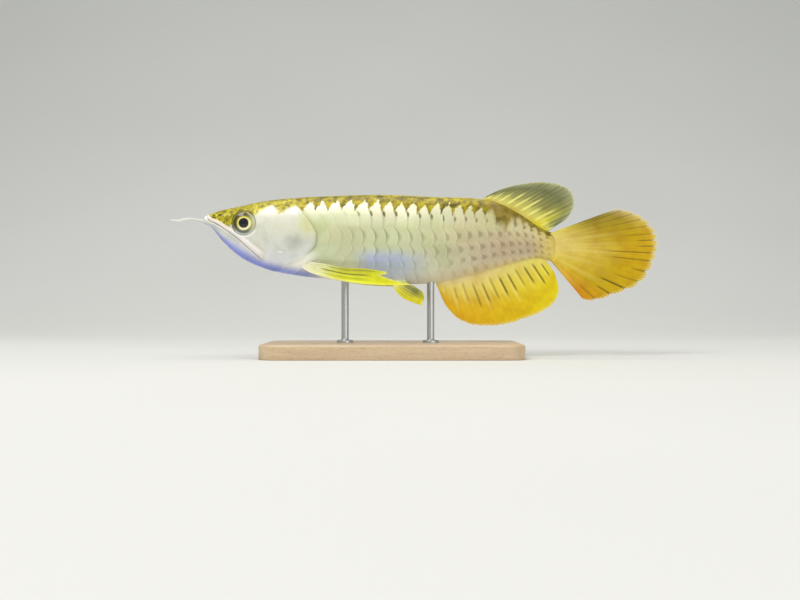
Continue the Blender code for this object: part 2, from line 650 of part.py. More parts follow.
def mouth_plate(name, side, ends, near, far, lift):
    """A raised band along the mouth line on one side, between two edges at given distances from the line."""
    x_line = np.linspace(*ends, 10)
    z_line = smooth(MOUTH_LINE[2:], x_line)
    along = np.gradient(np.stack([x_line, z_line], 1), axis=0)
    along /= np.linalg.norm(along, axis=1)[:, None]
    share = np.linspace(0, 1, 5)[None, :]
    low, high = (smooth(edge, np.linspace(0, 1, 10))[:, None] for edge in (near, far))
    away = low + (high - low) * share
    x = x_line[:, None] - along[:, 1:] * away
    z = z_line[:, None] + along[:, :1] * away
    end = np.linspace(-1, 1, 10)[:, None]
    rise = lift * (1 - (2 * share - 1) ** 4) * (1 - end**8)
    y = flank(x, z)
    lower = np.stack([x, side * (y - 1.1), z], -1)
    upper = np.stack([x, side * (y + rise - 0.12), z], -1)
    return add(name, box_stack(lower, upper), scale_skin())


def nostril(name, side, x, z, radius):
    y = float(flank(np.array(x), np.array(z)))
    profile = ((radius, side * -0.9), (radius, side * 2.0))
    return add(name, lathe(profile, 10, np.array([x, side * y, z]), 1), scale_skin())


def build_head():
    """The head with its lower jaw, gill covers and eyes, each parted from the others by a thin gap."""
    head = head_whole("head")
    jaw = head_whole("lower_jaw")
    for side, word in ((-1, "left"), (1, "right")):
        combine(head, [gill_cover("bed", side, GAP)], "DIFFERENCE")
        combine(head, [eye_solid("socket", side, GAP, True)], "DIFFERENCE")
        gill_cover("gill_cover_" + word, side, 0.0)
        eye_solid("eye_" + word, side, 0.0, False)
    combine(head, [jaw_region("jaw_space", GAP)], "DIFFERENCE")
    combine(jaw, [jaw_region("jaw_space", 0.0)], "INTERSECT")
    combine(head, [mouth_plate("maxilla", side, *MAXILLA) for side in (-1, 1)], "UNION")
    combine(jaw, [mouth_plate("lip", side, *LOWER_LIP) for side in (-1, 1)], "UNION")
    combine(head, [nostril("nostril", side, *place) for side in (-1, 1) for place in NOSTRILS], "DIFFERENCE")
    largest_body(head)
    largest_body(jaw)


def build_fins():
    """All fins, with the roots of the paired ones cut to the body they leave."""
    median_fin("dorsal_fin", DORSAL_RAYS, DORSAL_COUNT)
    median_fin("anal_fin", ANAL_RAYS, ANAL_COUNT)
    median_fin("caudal_fin", TAIL_RAYS, TAIL_COUNT)
    for side, word in ((-1, "left"), (1, "right")):
        pectoral = paired_fin("pectoral_fin_" + word, "pectoral_fin", side, PECTORAL_FIRST, PECTORAL_LAST,
                              PECTORAL_LENGTHS, PECTORAL_COUNT)
        pelvic = paired_fin("pelvic_fin_" + word, "pelvic_fin", side, PELVIC_FIRST, PELVIC_LAST,
                            PELVIC_LENGTHS, PELVIC_COUNT)
        for fin in (pectoral, pelvic):
            largest_body(combine(fin, [scaled_body("body_space", 0, VENT_COLUMN, GAP)], "DIFFERENCE"))
        largest_body(combine(barbel("barbel_" + word, side), [head_whole("jaw_space", GAP)], "DIFFERENCE"))


def build_stand():
    stand_base()
    for name, x in ROD_PLACES.items():
        largest_body(combine(stand_rod(name, x), [scaled_body("body_space", 0, COLUMNS, GAP)], "DIFFERENCE"))


def main():
    for old in list(bpy.data.objects):
        bpy.data.objects.remove(old)
    build_head()
    scaled_body("trunk", 0, VENT_COLUMN)
    scaled_body("tail_stalk", VENT_COLUMN, COLUMNS)
    build_fins()
    build_stand()


main()
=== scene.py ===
"""A young gold Asian arowana dressed for display on a plain stand.

One skin runs from the chin to the tail stem, with large pearly scales over it, rayed fins, glossy eyes and
two chin barbels. Shapes are worked out in millimetres in the fish's own frame, where x runs back from the
tip of the chin and z up from the body's mid line, with the left side at negative y, and are turned to
metres at the end.
"""

import math

import bpy
import numpy as np
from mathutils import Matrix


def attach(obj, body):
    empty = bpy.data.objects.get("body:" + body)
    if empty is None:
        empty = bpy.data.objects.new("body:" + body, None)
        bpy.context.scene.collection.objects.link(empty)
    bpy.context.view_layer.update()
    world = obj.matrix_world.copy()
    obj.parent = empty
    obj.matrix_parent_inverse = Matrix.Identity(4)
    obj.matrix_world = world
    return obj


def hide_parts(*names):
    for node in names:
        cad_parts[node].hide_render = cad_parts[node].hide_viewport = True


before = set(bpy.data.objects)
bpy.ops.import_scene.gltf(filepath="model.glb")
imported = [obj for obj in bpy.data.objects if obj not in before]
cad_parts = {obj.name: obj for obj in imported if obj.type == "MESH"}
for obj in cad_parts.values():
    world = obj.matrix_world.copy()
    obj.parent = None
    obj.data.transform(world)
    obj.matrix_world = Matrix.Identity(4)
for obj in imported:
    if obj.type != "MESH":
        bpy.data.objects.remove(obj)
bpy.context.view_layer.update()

MM = 0.001
CHIN_BEFORE_ORIGIN = 104.0
BASE_SIZE = (140.0, 70.0, 8.0)
BELLY_FIN_DROP = 47.2  # from the mid line down to the belly fin's lowest tip
BELLY_FIN_CLEAR = 9.0  # from there down to the base
MID_HEIGHT = BASE_SIZE[2] + BELLY_FIN_CLEAR + BELLY_FIN_DROP
PLACE = np.array([-CHIN_BEFORE_ORIGIN, 0, MID_HEIGHT])

# Side outline: (distance behind the chin, height)
BACK = ((0, 11.8), (2.5, 13.2), (8, 15.4), (19, 17.9), (34, 21.1), (51, 22.9), (67, 23.8), (101, 24.6),
        (128, 23.4), (152, 22.3), (162, 20.2), (174, 14.2), (185, 6.8), (190, 4.4), (197, 3.8))
BELLY = ((0, 9.0), (3.6, 7.9), (10.7, -0.3), (18.4, -7.6), (35, -16.0), (53, -19.6), (75, -22.0),
         (102, -23.8), (127, -23.5), (149, -18.9), (173, -12.2), (183, -10.2), (190, -11.4), (197, -13.8))
CHIN_HEIGHT = 10.2
NOSE_ROUND = 2.0

# Top outline and the form of the cross-section along the body
HALF_WIDTH = ((0, 2.6), (3, 4.1), (8, 5.4), (15, 6.9), (24, 8.6), (36, 10.2), (50, 11.3), (70, 11.9),
              (100, 12.0), (128, 11.0), (150, 8.7), (170, 6.0), (185, 3.9), (197, 2.3))
WIDEST_SHARE = ((0, 0.5), (20, 0.62), (45, 0.56), (80, 0.56), (130, 0.58), (170, 0.52), (197, 0.5))
BACK_SQUARENESS = ((0, 0.85), (12, 0.72), (40, 0.72), (75, 0.82), (130, 0.9), (170, 1.0), (197, 1.0))
KEEL_SHARPNESS = ((0, 0.95), (20, 0.98), (45, 1.1), (75, 1.25), (125, 1.3), (170, 1.15), (197, 1.0))

# Gill opening: (share of the half girth from back to belly, distance behind the chin)
GILL_EDGE = ((0, 49.0), (0.12, 50.2), (0.2, 52.4), (0.3, 57.0), (0.4, 60.9), (0.5, 63.2), (0.58, 62.9),
             (0.66, 60.0), (0.74, 54.9), (0.86, 46.1), (1.0, 39.0))
SKIN_END = 197.5
STEM_TAPER = 9.0  # length over which the tail stem thins into the tail fin

FLESH = ("head", "lower_jaw", "gill_cover_left", "gill_cover_right", "trunk", "tail_stalk")

# Head, with lines in side view as (x, z)
MOUTH_LINE = ((2.4, 15.0), (2.8, 12.6), (4.8, 10.3), (8.0, 8.8), (14.5, 4.7), (19.9, 0.8), (25.8, -4.6),
              (32.1, -10.2))
MAXILLA_WIDTH = ((0, 1.2), (0.25, 2.1), (0.5, 1.9), (0.75, 3.1), (1, 3.7))  # along the mouth line
EYE_CENTRE = (23.8, 8.7)
EYE_RADIUS = 6.35
EYE_OUTER = 1.75  # how far the ball stands out, and how far it reaches in
EYE_INNER = 3.8
EYE_SET_IN = 0.7
EYE_HOLLOW = 3.0
CORNEA_RISE = 0.35
NOSTRILS = ((7.2, 13.1, 0.42), (10.5, 13.1, 0.6))  # x, z and radius
CHEEK_EDGE = ((39.5, 14.2), (38.1, 8.6), (38.3, 2.6), (40.1, -2.4), (43.3, -6.2), (46.1, -6.7))
# Lower edge of the olive crown
CAP_EDGE = ((0, 9.5), (7, 9.6), (14, 7.0), (22, 9.0), (29, 12.6), (34.5, 15.6), (39, 17.6), (43.4, 13.6),
            (47, 15.2), (51, 17.4), (56, 18.0), (66, 18.8))
# Pale wet glints: (x, z, half length, half height, slope, strength), at the cheek's corner, crown and nape
HEAD_GLINTS = ((43.4, -6.9, 2.2, 0.55, -0.12, 1.0), (38.2, 15.2, 4.0, 2.8, 0.0, 0.8),
               (51.5, 14.6, 5.0, 3.2, 0.0, 0.8))

# Scales: (column, distance behind the chin on the back)
COLUMN_STARTS = ((0, 57.8), (3, 75.6), (8, 107.0), (13, 138.5), (18, 166.4), (22, 185.6), (23, 190.5),
                 (24, 194.0))
COLUMNS = 24
ROWS = 6
ROW_EDGES = (0.0, 0.16, 0.42, 0.575, 0.705, 0.825, 1.0)  # shares of the half girth between the rows in front
EVEN_ROWS = (15, 21)  # columns between which the rows come to share the girth evenly
COLUMN_LEAN = ((0, 9.0), (12, 9.0), (18, 6.5), (23, 1.0), (24, 0.6))  # how much further back on the belly
GILL_FADE = 7.0  # columns over which the lines turn from the gill opening's curve to their own
BEFORE_FIRST = 6.0  # further forward for the part of the first column under the gill cover
SCALE_BULGE = 1.9  # how far the rounded edge reaches behind its corners
SCALE_RISE = 0.3  # off the body at the free edge
SCALE_SUNK = 0.28  # into it at the covered root
NAPE_SUNK = 0.35  # deeper still at the nape
SCALE_THICKNESS = 0.13
SCALE_ROOT = 0.45  # share of a scale's length that its neighbour covers
SCALE_LENGTH = 9.47  # mean length with the covered root, over which the growth rings are counted
GROWTH_RING = 0.35
BODY_LENGTH = 200.0  # the marks' places along the body are shares of this
# Marks by scale row, back to belly: spots in front and at the rear, painted edge shadow, and that on the
# olive
FRONT_SPOTS = (0.0, 1.0, 0.3, 0.2, 0.0, 0.0)
REAR_SPOTS = (0.0, 0.85, 0.65, 0.62, 0.6, 0.3)
ROW_EDGE_SHADOWS = (0.15, 0.45, 0.6, 0.5, 0.25, 0.1)
OLIVE_EDGE_SHADOWS = (0.55, 0.35, 0.0, 0.0, 0.0, 0.0)

# Fins in the middle plane: (share along the fin, root x, root z, tip x, tip z)
DORSAL_RAYS = ((0, 153.0, 22.4, 156.8, 24.6), (0.06, 155.0, 22.3, 162.4, 27.4),
               (0.14, 157.2, 22.0, 169.4, 29.6), (0.26, 161.2, 20.8, 178.2, 31.3),
               (0.4, 166.6, 18.5, 188.4, 31.8), (0.54, 171.7, 15.9, 196.4, 30.2),
               (0.66, 176.3, 13.1, 201.6, 27.2), (0.76, 180.0, 10.6, 203.8, 22.6),
               (0.86, 184.0, 7.8, 203.4, 17.4), (0.94, 187.2, 6.0, 199.4, 11.4),
               (1, 189.6, 4.9, 194.0, 8.0))
ANAL_RAYS = ((0, 128.0, -24.0, 130.1, -29.0), (0.05, 130.6, -23.6, 133.4, -36.0),
             (0.1, 133.6, -23.0, 138.6, -42.0), (0.18, 138.4, -22.0, 146.0, -46.0),
             (0.3, 146.0, -20.2, 156.5, -47.1), (0.44, 154.4, -17.9, 167.4, -46.1),
             (0.58, 162.9, -15.4, 177.6, -42.9), (0.72, 171.4, -13.0, 187.4, -38.7),
             (0.84, 179.0, -11.2, 193.6, -33.2), (0.93, 184.6, -10.9, 195.3, -26.4),
             (1, 188.6, -11.3, 193.2, -18.6))
TAIL_RAYS = ((0, 191.4, 4.1, 223.9, 16.1), (0.1, 191.6, 3.2, 230.0, 17.1), (0.25, 191.8, 0.6, 242.5, 11.8),
             (0.4, 191.9, -1.8, 249.4, 2.2), (0.5, 191.9, -3.4, 250.0, -3.4),
             (0.62, 191.9, -5.4, 247.8, -11.4), (0.75, 191.9, -7.6, 240.4, -23.4),
             (0.87, 191.9, -9.7, 225.5, -30.2), (0.95, 191.9, -11.6, 214.6, -33.4),
             (1, 191.9, -12.8, 209.0, -33.0))
# Rays, half thickness at the root, rise of a ray, notch between ray tips, sway, share of the root sunk in
DORSAL = (20, 0.7, 0.12, 0.035, 0.5, 0.1)
ANAL = (26, 0.75, 0.12, 0.028, 0.5, 0.08)
TAIL = (16, 1.5, 0.16, 0.05, 0.7, 0.03)
PECTORAL = (7, 0.8, 0.2, 0.03, 0.0, 0.0)
PELVIC = (6, 0.7, 0.16, 0.05, 0.0, 0.0)
# Dark strokes between rays: one in so many gaps, start, end, half width in rays, strength at the first ray
DORSAL_STROKES = (1, 0.25, 0.95, 0.2, 1.0)
ANAL_STROKES = (2, 0.08, 0.56, 0.22, 0.3)
TAIL_STROKES = (1, 0.64, 1.15, 0.085, 0.6)
PECTORAL_STROKES = (2, 0.3, 0.85, 0.42, 1.0)
PELVIC_STROKES = (1, 0.25, 0.9, 0.2, 1.0)
# Pale part of the rays: how far out it shows at full strength, and over what length it fades
DORSAL_PALE = (0.24, 0.22)
ANAL_PALE = (0.35, 0.25)
TAIL_PALE = (0.3, 0.5)
MEMBRANE_HALF = 0.14
RAY_JOINT = 1.208  # distance between the joints of a ray
# How see-through the web is, by share along the fin
EVEN_WEB = ((0, 1.0), (1, 1.0))
TAIL_WEB = ((0, 3.0), (0.15, 2.5), (0.3, 1.0), (1, 0.6))
PECTORAL_WEB = ((0, 0.0), (0.3, 1.0), (1, 3.0))
PELVIC_WEB = ((0, 0.0), (0.3, 0.5), (0.5, 1.2), (1, 1.2))

# Paired fins, right side: the paths of the first and last ray as (share along, x, outwards, z)
PECTORAL_FIRST = ((0, 53.7, 5.4, -14.2), (0.07, 56.9, 9.6, -16.6), (0.25, 65.6, 13.2, -20.0),
                  (0.5, 81.0, 17.6, -23.4), (0.75, 98.0, 21.4, -25.0), (1, 115.1, 25.0, -24.9))
PECTORAL_LAST = ((0, 57.5, 7.0, -11.4), (0.07, 60.9, 11.4, -12.4), (0.25, 67.6, 13.2, -13.4),
                 (0.5, 77.5, 14.4, -15.6), (0.75, 89.5, 15.6, -16.2), (1, 100.9, 17.4, -17.8))
PECTORAL_LENGTHS = ((0, 1.0), (0.2, 0.94), (0.45, 0.9), (0.62, 0.86), (0.8, 0.96), (1, 1.0))
PELVIC_FIRST = ((0, 103.6, 1.6, -21.0), (0.2, 104.8, 4.0, -26.0), (0.5, 109.0, 7.0, -31.2),
                (1, 120.5, 12.0, -36.1))
PELVIC_LAST = ((0, 110.4, 2.6, -20.4), (0.2, 112.2, 4.6, -23.4), (0.5, 115.6, 6.4, -25.2),
               (1, 121.6, 9.0, -29.4))
PELVIC_LENGTHS = ((0, 1.0), (0.35, 1.0), (0.6, 1.06), (0.85, 1.0), (1, 0.96))
PAIRED_ROOT_SUNK = 2.0

# Finish of each fin: colours from root to edge at places from the first ray to the last, then colour and
# strength of rays and strokes, and how see-through the web is at its root, in its middle and at its edge
WEBS = {
    "gold_tail_web": ((
        (0.05, ((0, "#DCC85A"), (0.25, "#CCC030"), (0.5, "#8C7C18"), (0.8, "#9E8E3E"), (1, "#DCC8A8"))),
        (0.2, ((0, "#DECA74"), (0.25, "#C6AC44"), (0.5, "#A08814"), (0.8, "#A89022"), (1, "#D6BC70"))),
        (0.35, ((0, "#E0CC78"), (0.3, "#C8AE48"), (0.5, "#B69812"), (0.75, "#BA9C00"), (1, "#D4B020"))),
        (0.55, ((0, "#E2D07C"), (0.3, "#D2BA54"), (0.5, "#CAAE38"), (0.7, "#C8A400"), (1, "#D0A80C"))),
        (0.86, ((0, "#E2CE50"), (0.3, "#CEB008"), (0.6, "#BEA000"), (1, "#CAA804"))),
        (0.99, ((0, "#DDC03C"), (0.3, "#D89E00"), (0.7, "#D28C00"), (1, "#D69408")))),
        ("#E6D478", 0.35), ("#4E400C", 1.0), (0.0, 0.03, 0.06)),
    "amber_fin_web": ((
        (0.02, ((0, "#E4D49A"), (0.2, "#E2CC5C"), (0.5, "#E2B828"), (1, "#E0AA08"))),
        (0.35, ((0, "#E6D69A"), (0.25, "#E2CE60"), (0.6, "#E0BC20"), (1, "#E2BC00"))),
        (0.9, ((0, "#E6DA70"), (0.3, "#E4D230"), (0.7, "#E0CA08"), (1, "#E4D408")))),
        ("#F0E27C", 0.45), ("#54500E", 0.95), (0.0, 0.03, 0.06)),
    "olive_fin_web": ((
        (0.0, ((0, "#D6CA70"), (0.25, "#B0AC64"), (0.7, "#7C8250"), (1, "#A4A87A"))),
        (0.7, ((0, "#D8CC66"), (0.25, "#ACAA58"), (0.7, "#747A46"), (1, "#A8AC80"))),
        (0.84, ((0, "#E0D220"), (0.3, "#DCD63C"), (0.7, "#A8AA52"), (1, "#B4B88C"))),
        (0.93, ((0, "#CEC440"), (0.3, "#949858"), (0.7, "#7E8454"), (1, "#B4B88C")))),
        ("#EEEA84", 1.0), ("#4C522C", 0.6), (0.0, 0.25, 0.32)),
    "lemon_fin_web": ((
        (0.0, ((0, "#FBFAF6"), (0.3, "#F7F8D0"), (0.6, "#F4F676"), (1, "#F0F250"))),
        (0.14, ((0, "#F6F5EE"), (0.22, "#ECEEC4"), (0.4, "#DCE010"), (1, "#E0E414"))),
        (1.0, ((0, "#ECEEDC"), (0.3, "#DFE2B4"), (0.5, "#CCD020"), (1, "#DEE444")))),
        ("#F4F68A", 0.6), ("#6C6E00", 0.95), (0.06, 0.12, 0.12)),
    "green_fin_web": ((
        (0.3, ((0, "#ECEBC4"), (0.3, "#DCD820"), (1, "#DCD40C"))),
        (0.7, ((0, "#DDE0C0"), (0.3, "#A2A450"), (0.7, "#848A44"), (1, "#CFCE3C")))),
        ("#E8E46A", 0.5), ("#56603A", 0.6), (0.0, 0.4, 0.3)),
}

# Piece, node, path, form, pale part, strokes, web, points for each ray and steps outwards, finish
MEDIAN_FINS = (
    ("back_fin", "dorsal_fin", DORSAL_RAYS, DORSAL, DORSAL_PALE, DORSAL_STROKES, EVEN_WEB, (14, 48),
     "olive_fin_web"),
    ("belly_fin", "anal_fin", ANAL_RAYS, ANAL, ANAL_PALE, ANAL_STROKES, EVEN_WEB, (14, 52), "amber_fin_web"),
    ("tail_fin", "caudal_fin", TAIL_RAYS, TAIL, TAIL_PALE, TAIL_STROKES, TAIL_WEB, (24, 72), "gold_tail_web"))
PAIRED_FINS = (
    ("breast_fin_", "pectoral_fin_", (PECTORAL_FIRST, PECTORAL_LAST, PECTORAL_LENGTHS), PECTORAL, TAIL_PALE,
     PECTORAL_STROKES, PECTORAL_WEB, (20, 64), "lemon_fin_web"),
    ("hip_fin_", "pelvic_fin_", (PELVIC_FIRST, PELVIC_LAST, PELVIC_LENGTHS), PELVIC, TAIL_PALE,
     PELVIC_STROKES, PELVIC_WEB, (18, 44), "green_fin_web"))

BARBEL_PATH = ((0, 1.8, 1.5, 10.2), (0.15, -1.2, 1.8, 10.8), (0.5, -8.0, 2.6, 11.6), (0.8, -13.5, 3.0, 10.6),
               (1, -17.2, 3.3, 10.9))
BARBEL_RADII = (0.5, 0.22)

# Stand: x and top of each rod in the fish's frame, and radius and height of the flange at its foot
ROD_PLACES = {"stand_rod_front": (78.1, -20.0), "stand_rod_rear": (125.0, -21.0)}
ROD_FOOT = (4.5, 1.4)
ROD_RADIUS = 2.0
ROD_EASE = 0.4
ROD_FILLET = 0.8
BASE_CORNER = 9.0
BASE_BEVEL = 1.6
BASE_PANEL = 30.0  # inset of the last ring on each flat face
BASE_NARROWER = 0.2  # than its solid
SHARP_DEGREES = 45.0

# Lamps in metres: name, place, size and power; the key to the left in front, the fill low to the right
LAMPS = (("key", (-0.45, -0.75, 0.9), 0.5, 6.0), ("fill", (0.7, -1.0, 0.12), 0.9, 4.5),
         ("top", (0.0, 0.0, 1.0), 0.8, 5.0))
LAMP_AIM = np.array([0.0, 0.0, 0.06])
PHOTO_CENTRE = (108.2, -32.9)  # x and z in the middle of the photograph
CAMERA_AWAY = 609.0


def smooth(table, x):
    """A curve through (x, value) pairs: cubic pieces, with each slope taken from both neighbours."""
    knots, values = np.array(table, float).T
    slopes = np.gradient(values, knots)
    x = np.asarray(x, float)
    i = np.clip(np.searchsorted(knots, x, side="right") - 1, 0, len(knots) - 2)
    span = knots[i + 1] - knots[i]
    t = np.clip((x - knots[i]) / span, 0, 1)
    return (
        values[i] * (1 + 2 * t) * (1 - t) ** 2
        + values[i + 1] * t * t * (3 - 2 * t)
        + span * (slopes[i] * t * (1 - t) ** 2 - slopes[i + 1] * t * t * (1 - t))
    )


def ease(t):
    """0 below 0, 1 above 1, and a smooth step between."""
    t = np.clip(t, 0, 1)
    return t * t * (3 - 2 * t)


def bump(t):
    """A bell: 1 at 0, and down to about a seventh at 1 to each side."""
    return np.exp(-(t**2) * 2)


def outline(x):
    """Top, bottom and half width of the body at x, drawn in to a round tip at the chin."""
    nose = np.sqrt(np.clip(1 - (1 - np.clip(x / NOSE_ROUND, 0, 1)) ** 2, 1e-9, 1))
    top = CHIN_HEIGHT + (smooth(BACK, x) - CHIN_HEIGHT) * nose
    bottom = CHIN_HEIGHT + (smooth(BELLY, x) - CHIN_HEIGHT) * nose
    return top, bottom, smooth(HALF_WIDTH, x) * nose


def section(x, angle):
    """Half width and height of the cross-section at x: powers of the angle's sine and cosine."""
    top, bottom, half = outline(x)
    widest = bottom + (top - bottom) * smooth(WIDEST_SHARE, x)
    c, s = np.cos(angle), np.clip(np.sin(angle), 0, 1)
    square = smooth(BACK_SQUARENESS, x)
    upper = widest + (top - widest) * np.abs(c) ** square
    lower = widest - (widest - bottom) * np.abs(c) ** 0.92
    y = half * s ** np.where(c > 0, square, smooth(KEEL_SHARPNESS, x))
    return y, np.where(c > 0, upper, lower)


def girth_table():
    """For stations along the body, the section angle at each of many equal steps of the half girth."""
    stations = np.linspace(0.02, SKIN_END, 300)
    angles = np.linspace(0, math.pi, 241)
    y, z = section(stations[:, None], angles[None, :])
    run = np.pad(np.hypot(np.diff(y), np.diff(z)).cumsum(axis=1), [(0, 0), (1, 0)])
    shares = np.linspace(0, 1, 121)
    return stations, np.array([np.interp(shares, r / r[-1], angles) for r in run]), run[:, -1]


STATIONS, ANGLES, HALF_GIRTHS = girth_table()


def angle_at(x, share):
    """Section angle at x where that share of the half girth is reached, read between the table's entries."""
    i = np.clip((x - STATIONS[0]) / (STATIONS[1] - STATIONS[0]), 0, len(STATIONS) - 1.001)
    j = np.clip(share * 120, 0, 119.999)
    i0, j0 = i.astype(int), j.astype(int)
    a, b = i - i0, j - j0
    near = ANGLES[i0, j0] * (1 - b) + ANGLES[i0, j0 + 1] * b
    far = ANGLES[i0 + 1, j0] * (1 - b) + ANGLES[i0 + 1, j0 + 1] * b
    return near * (1 - a) + far * a


def body(x, share, lift=0.0):
    """Points on the body at a signed share of the half girth from the back, negative on the left.

    lift moves a point out along the section's own normal.
    """
    x, share, lift = np.broadcast_arrays(*(np.asarray(v, float) for v in (x, share, lift)))
    angle = angle_at(x, np.abs(share))
    y, z = section(x, angle)
    inner = np.clip(angle, 0.02, math.pi - 0.02)
    y0, z0 = section(x, inner - 0.01)
    y1, z1 = section(x, inner + 0.01)
    length = np.hypot(y1 - y0, z1 - z0)
    on_ridge = (np.abs(share) < 1e-6) | (np.abs(share) > 1 - 1e-6)
    y = np.where(on_ridge, 0, y + lift * (z0 - z1) / length)
    z = z + lift * (y1 - y0) / length
    return np.stack([x, np.sign(share) * y, z], axis=-1)


def flank(x, z):
    """Half width of the body at x and height z."""
    top, bottom, half = outline(x)
    widest = bottom + (top - bottom) * smooth(WIDEST_SHARE, x)
    square = smooth(BACK_SQUARENESS, x)
    up = np.clip((z - widest) / (top - widest), 0, 1) ** (1 / square)
    down = np.clip((widest - z) / (widest - bottom), 0, 1) ** (1 / 0.92)
    above = (1 - up**2) ** (square / 2)
    below = (1 - down**2) ** (smooth(KEEL_SHARPNESS, x) / 2)
    return half * np.where(z > widest, above, below)


def gill_x(share):
    """How far behind the chin the gill opening lies at that share of the half girth."""
    return smooth(GILL_EDGE, np.abs(share))


def behind_gills(x, share):
    """How deep the body is tucked in behind the gill cover, fading further back and on the nape."""
    share = np.abs(share)
    deep = 0.8 * ease((share - 0.16) / 0.1) * (1 - 0.5 * ease((share - 0.56) / 0.14))
    return deep * np.exp(-np.maximum(x - gill_x(share), 0) / 3.5)


def stem_taper(x):
    """How much of its width the tail stem keeps towards its end, where it thins into the tail fin."""
    return 1 - 0.86 * ease((x - SKIN_END + STEM_TAPER) / STEM_TAPER)


def violet_band(x, share):
    """How violet the underside is: a band from chin to chest, taller under the front of the jaw.

    Part is the skin's own violet-blue and part a painted reflection of blue light from below.
    """
    start = np.interp(x, (0, 22, 35, 50), (0.67, 0.69, 0.79, 0.81))
    blur = np.interp(x, (22, 38), (0.2, 0.13))
    return ease((np.abs(share) - start) / blur) * (1 - ease((x - 57) / 12))


def nearest(table, x, z):
    """Share along a side-view line, signed distance above it, and distance past its end, for each (x, z)."""
    line = np.array(table, float)
    run = np.concatenate([[0], np.hypot(*np.diff(line, axis=0).T).cumsum()])
    steps = np.linspace(0, 1, 160)
    curve = np.stack([smooth(np.stack([run / run[-1], line[:, k]], 1), steps) for k in (0, 1)], 1)
    along = np.gradient(curve, axis=0)
    along /= np.linalg.norm(along, axis=1)[:, None]
    flat_x, flat_z = np.ravel(x), np.ravel(z)
    best = np.empty(flat_x.shape, int)
    for part in np.array_split(np.arange(len(flat_x)), max(1, len(flat_x) // 20000)):
        apart = (flat_x[part, None] - curve[None, :, 0]) ** 2 + (flat_z[part, None] - curve[None, :, 1]) ** 2
        best[part] = apart.argmin(axis=1)
    off_x, off_z = flat_x - curve[best, 0], flat_z - curve[best, 1]
    side = np.where(off_z * along[best, 0] - off_x * along[best, 1] >= 0, 1.0, -1.0)
    past = np.maximum(off_x * along[best, 0] + off_z * along[best, 1], 0) * (best == len(steps) - 1)
    away = side * np.hypot(off_x, off_z)
    return tuple(v.reshape(np.shape(x)) for v in (steps[best], away, past))


def grid_faces(rows, columns, closed=False):
    """Quads of a grid of points, joined round its second direction where closed."""
    i, j = np.meshgrid(np.arange(rows - 1), np.arange(columns if closed else columns - 1), indexing="ij")
    right = (j + 1) % columns
    return np.stack([i * columns + j, i * columns + right, (i + 1) * columns + right, (i + 1) * columns + j],
                    -1).reshape(-1, 4)


def sheet_faces(rows, columns):
    """Quads of a thin closed sheet: an upper grid, a lower one after it, and a wall round their edges."""
    face = grid_faces(rows, columns)
    index = np.arange(rows * columns).reshape(rows, columns)
    rim = np.concatenate([index[0, :-1], index[:-1, -1], index[-1, :0:-1], index[:0:-1, 0]])
    after = np.roll(rim, -1)
    more = rows * columns
    walls = np.stack([after, rim, rim + more, after + more], -1)
    return np.concatenate([face, face[:, ::-1] + more, walls])


def piece(name, points, faces, finish, slot, nodes=(), uv=None, **values):
    """Makes a smooth closed mesh of quads in the frame, with its point values, and rides it on the part.

    uv gives one (u, v) for each corner of each face, and fills the UV map named OFBake.
    """
    placed = ((points + PLACE) * MM).astype(np.float32)
    corners = placed[faces]
    tri = np.concatenate([corners[:, [0, 1, 2]], corners[:, [0, 2, 3]]])
    if np.linalg.det(tri.astype(float)).sum() < 0:
        faces = faces[:, ::-1]
        uv = None if uv is None else uv[:, ::-1]
    mesh = bpy.data.meshes.new(name)
    mesh.vertices.add(len(placed))
    mesh.vertices.foreach_set("co", placed.ravel())
    mesh.loops.add(faces.size)
    mesh.loops.foreach_set("vertex_index", faces.ravel().astype(np.int32))
    mesh.polygons.add(len(faces))
    mesh.polygons.foreach_set("loop_start", (np.arange(len(faces)) * 4).astype(np.int32))
    mesh.update(calc_edges=True)
    mesh.shade_smooth()
    for key, value in values.items():
        held = mesh.attributes.new(key, "FLOAT", "POINT").data
        held.foreach_set("value", np.ravel(value).astype(np.float32))
    if uv is not None:
        mesh.uv_layers.new(name="OFBake").data.foreach_set("uv", np.ravel(uv).astype(np.float32))
    mesh.set_sharp_from_angle(angle=math.radians(SHARP_DEGREES))
    mesh.materials.append(finish)
    made = bpy.data.objects.new(name, mesh)
    bpy.context.scene.collection.objects.link(made)
    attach(made, "root")
    if nodes:
        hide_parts(*nodes)
    return made


def linear(colour):
    """An sRGB hex colour as linear red, green and blue with full alpha."""
    parts = [int(colour[k:k + 2], 16) / 255 for k in (1, 3, 5)]
    return tuple(p / 12.92 if p <= 0.04045 else ((p + 0.055) / 1.055) ** 2.4 for p in parts) + (1.0,)


def repeats(size):
    """How often a pattern of that size in millimetres repeats in a metre, as a texture's scale counts it."""
    return 1 / (size * MM)


def feed(tree, node, inputs):
    """Gives a node's inputs, in their order or by key, their values or the outputs that they read.

    A text is a colour where it starts with #, and else the name of a value that the mesh carries at its
    points.
    """
    for key, value in inputs.items() if isinstance(inputs, dict) else enumerate(inputs):
        if isinstance(value, str) and value[0] != "#":
            value = add_node(tree, "Attribute", output="Fac", attribute_name=value)
        if isinstance(value, bpy.types.NodeSocket):
            tree.links.new(value, node.inputs[key])
        else:
            node.inputs[key].default_value = linear(value) if isinstance(value, str) else value


def add_node(tree, kind, inputs=(), stops=(), output=0, **settings):
    """Adds a shader node with its settings, inputs and colour stops, and gives back one of its outputs."""
    node = tree.nodes.new("ShaderNode" + kind)
    for key, value in settings.items():
        setattr(node, key, value)
    feed(tree, node, inputs)
    for _ in stops[2:]:
        node.color_ramp.elements.new(1.0)
    for k, (place, tint) in enumerate(stops):
        node.color_ramp.elements[k].position = place
        node.color_ramp.elements[k].color = linear(tint) if isinstance(tint, str) else (tint, tint, tint, 1.0)
    return node.outputs[output]


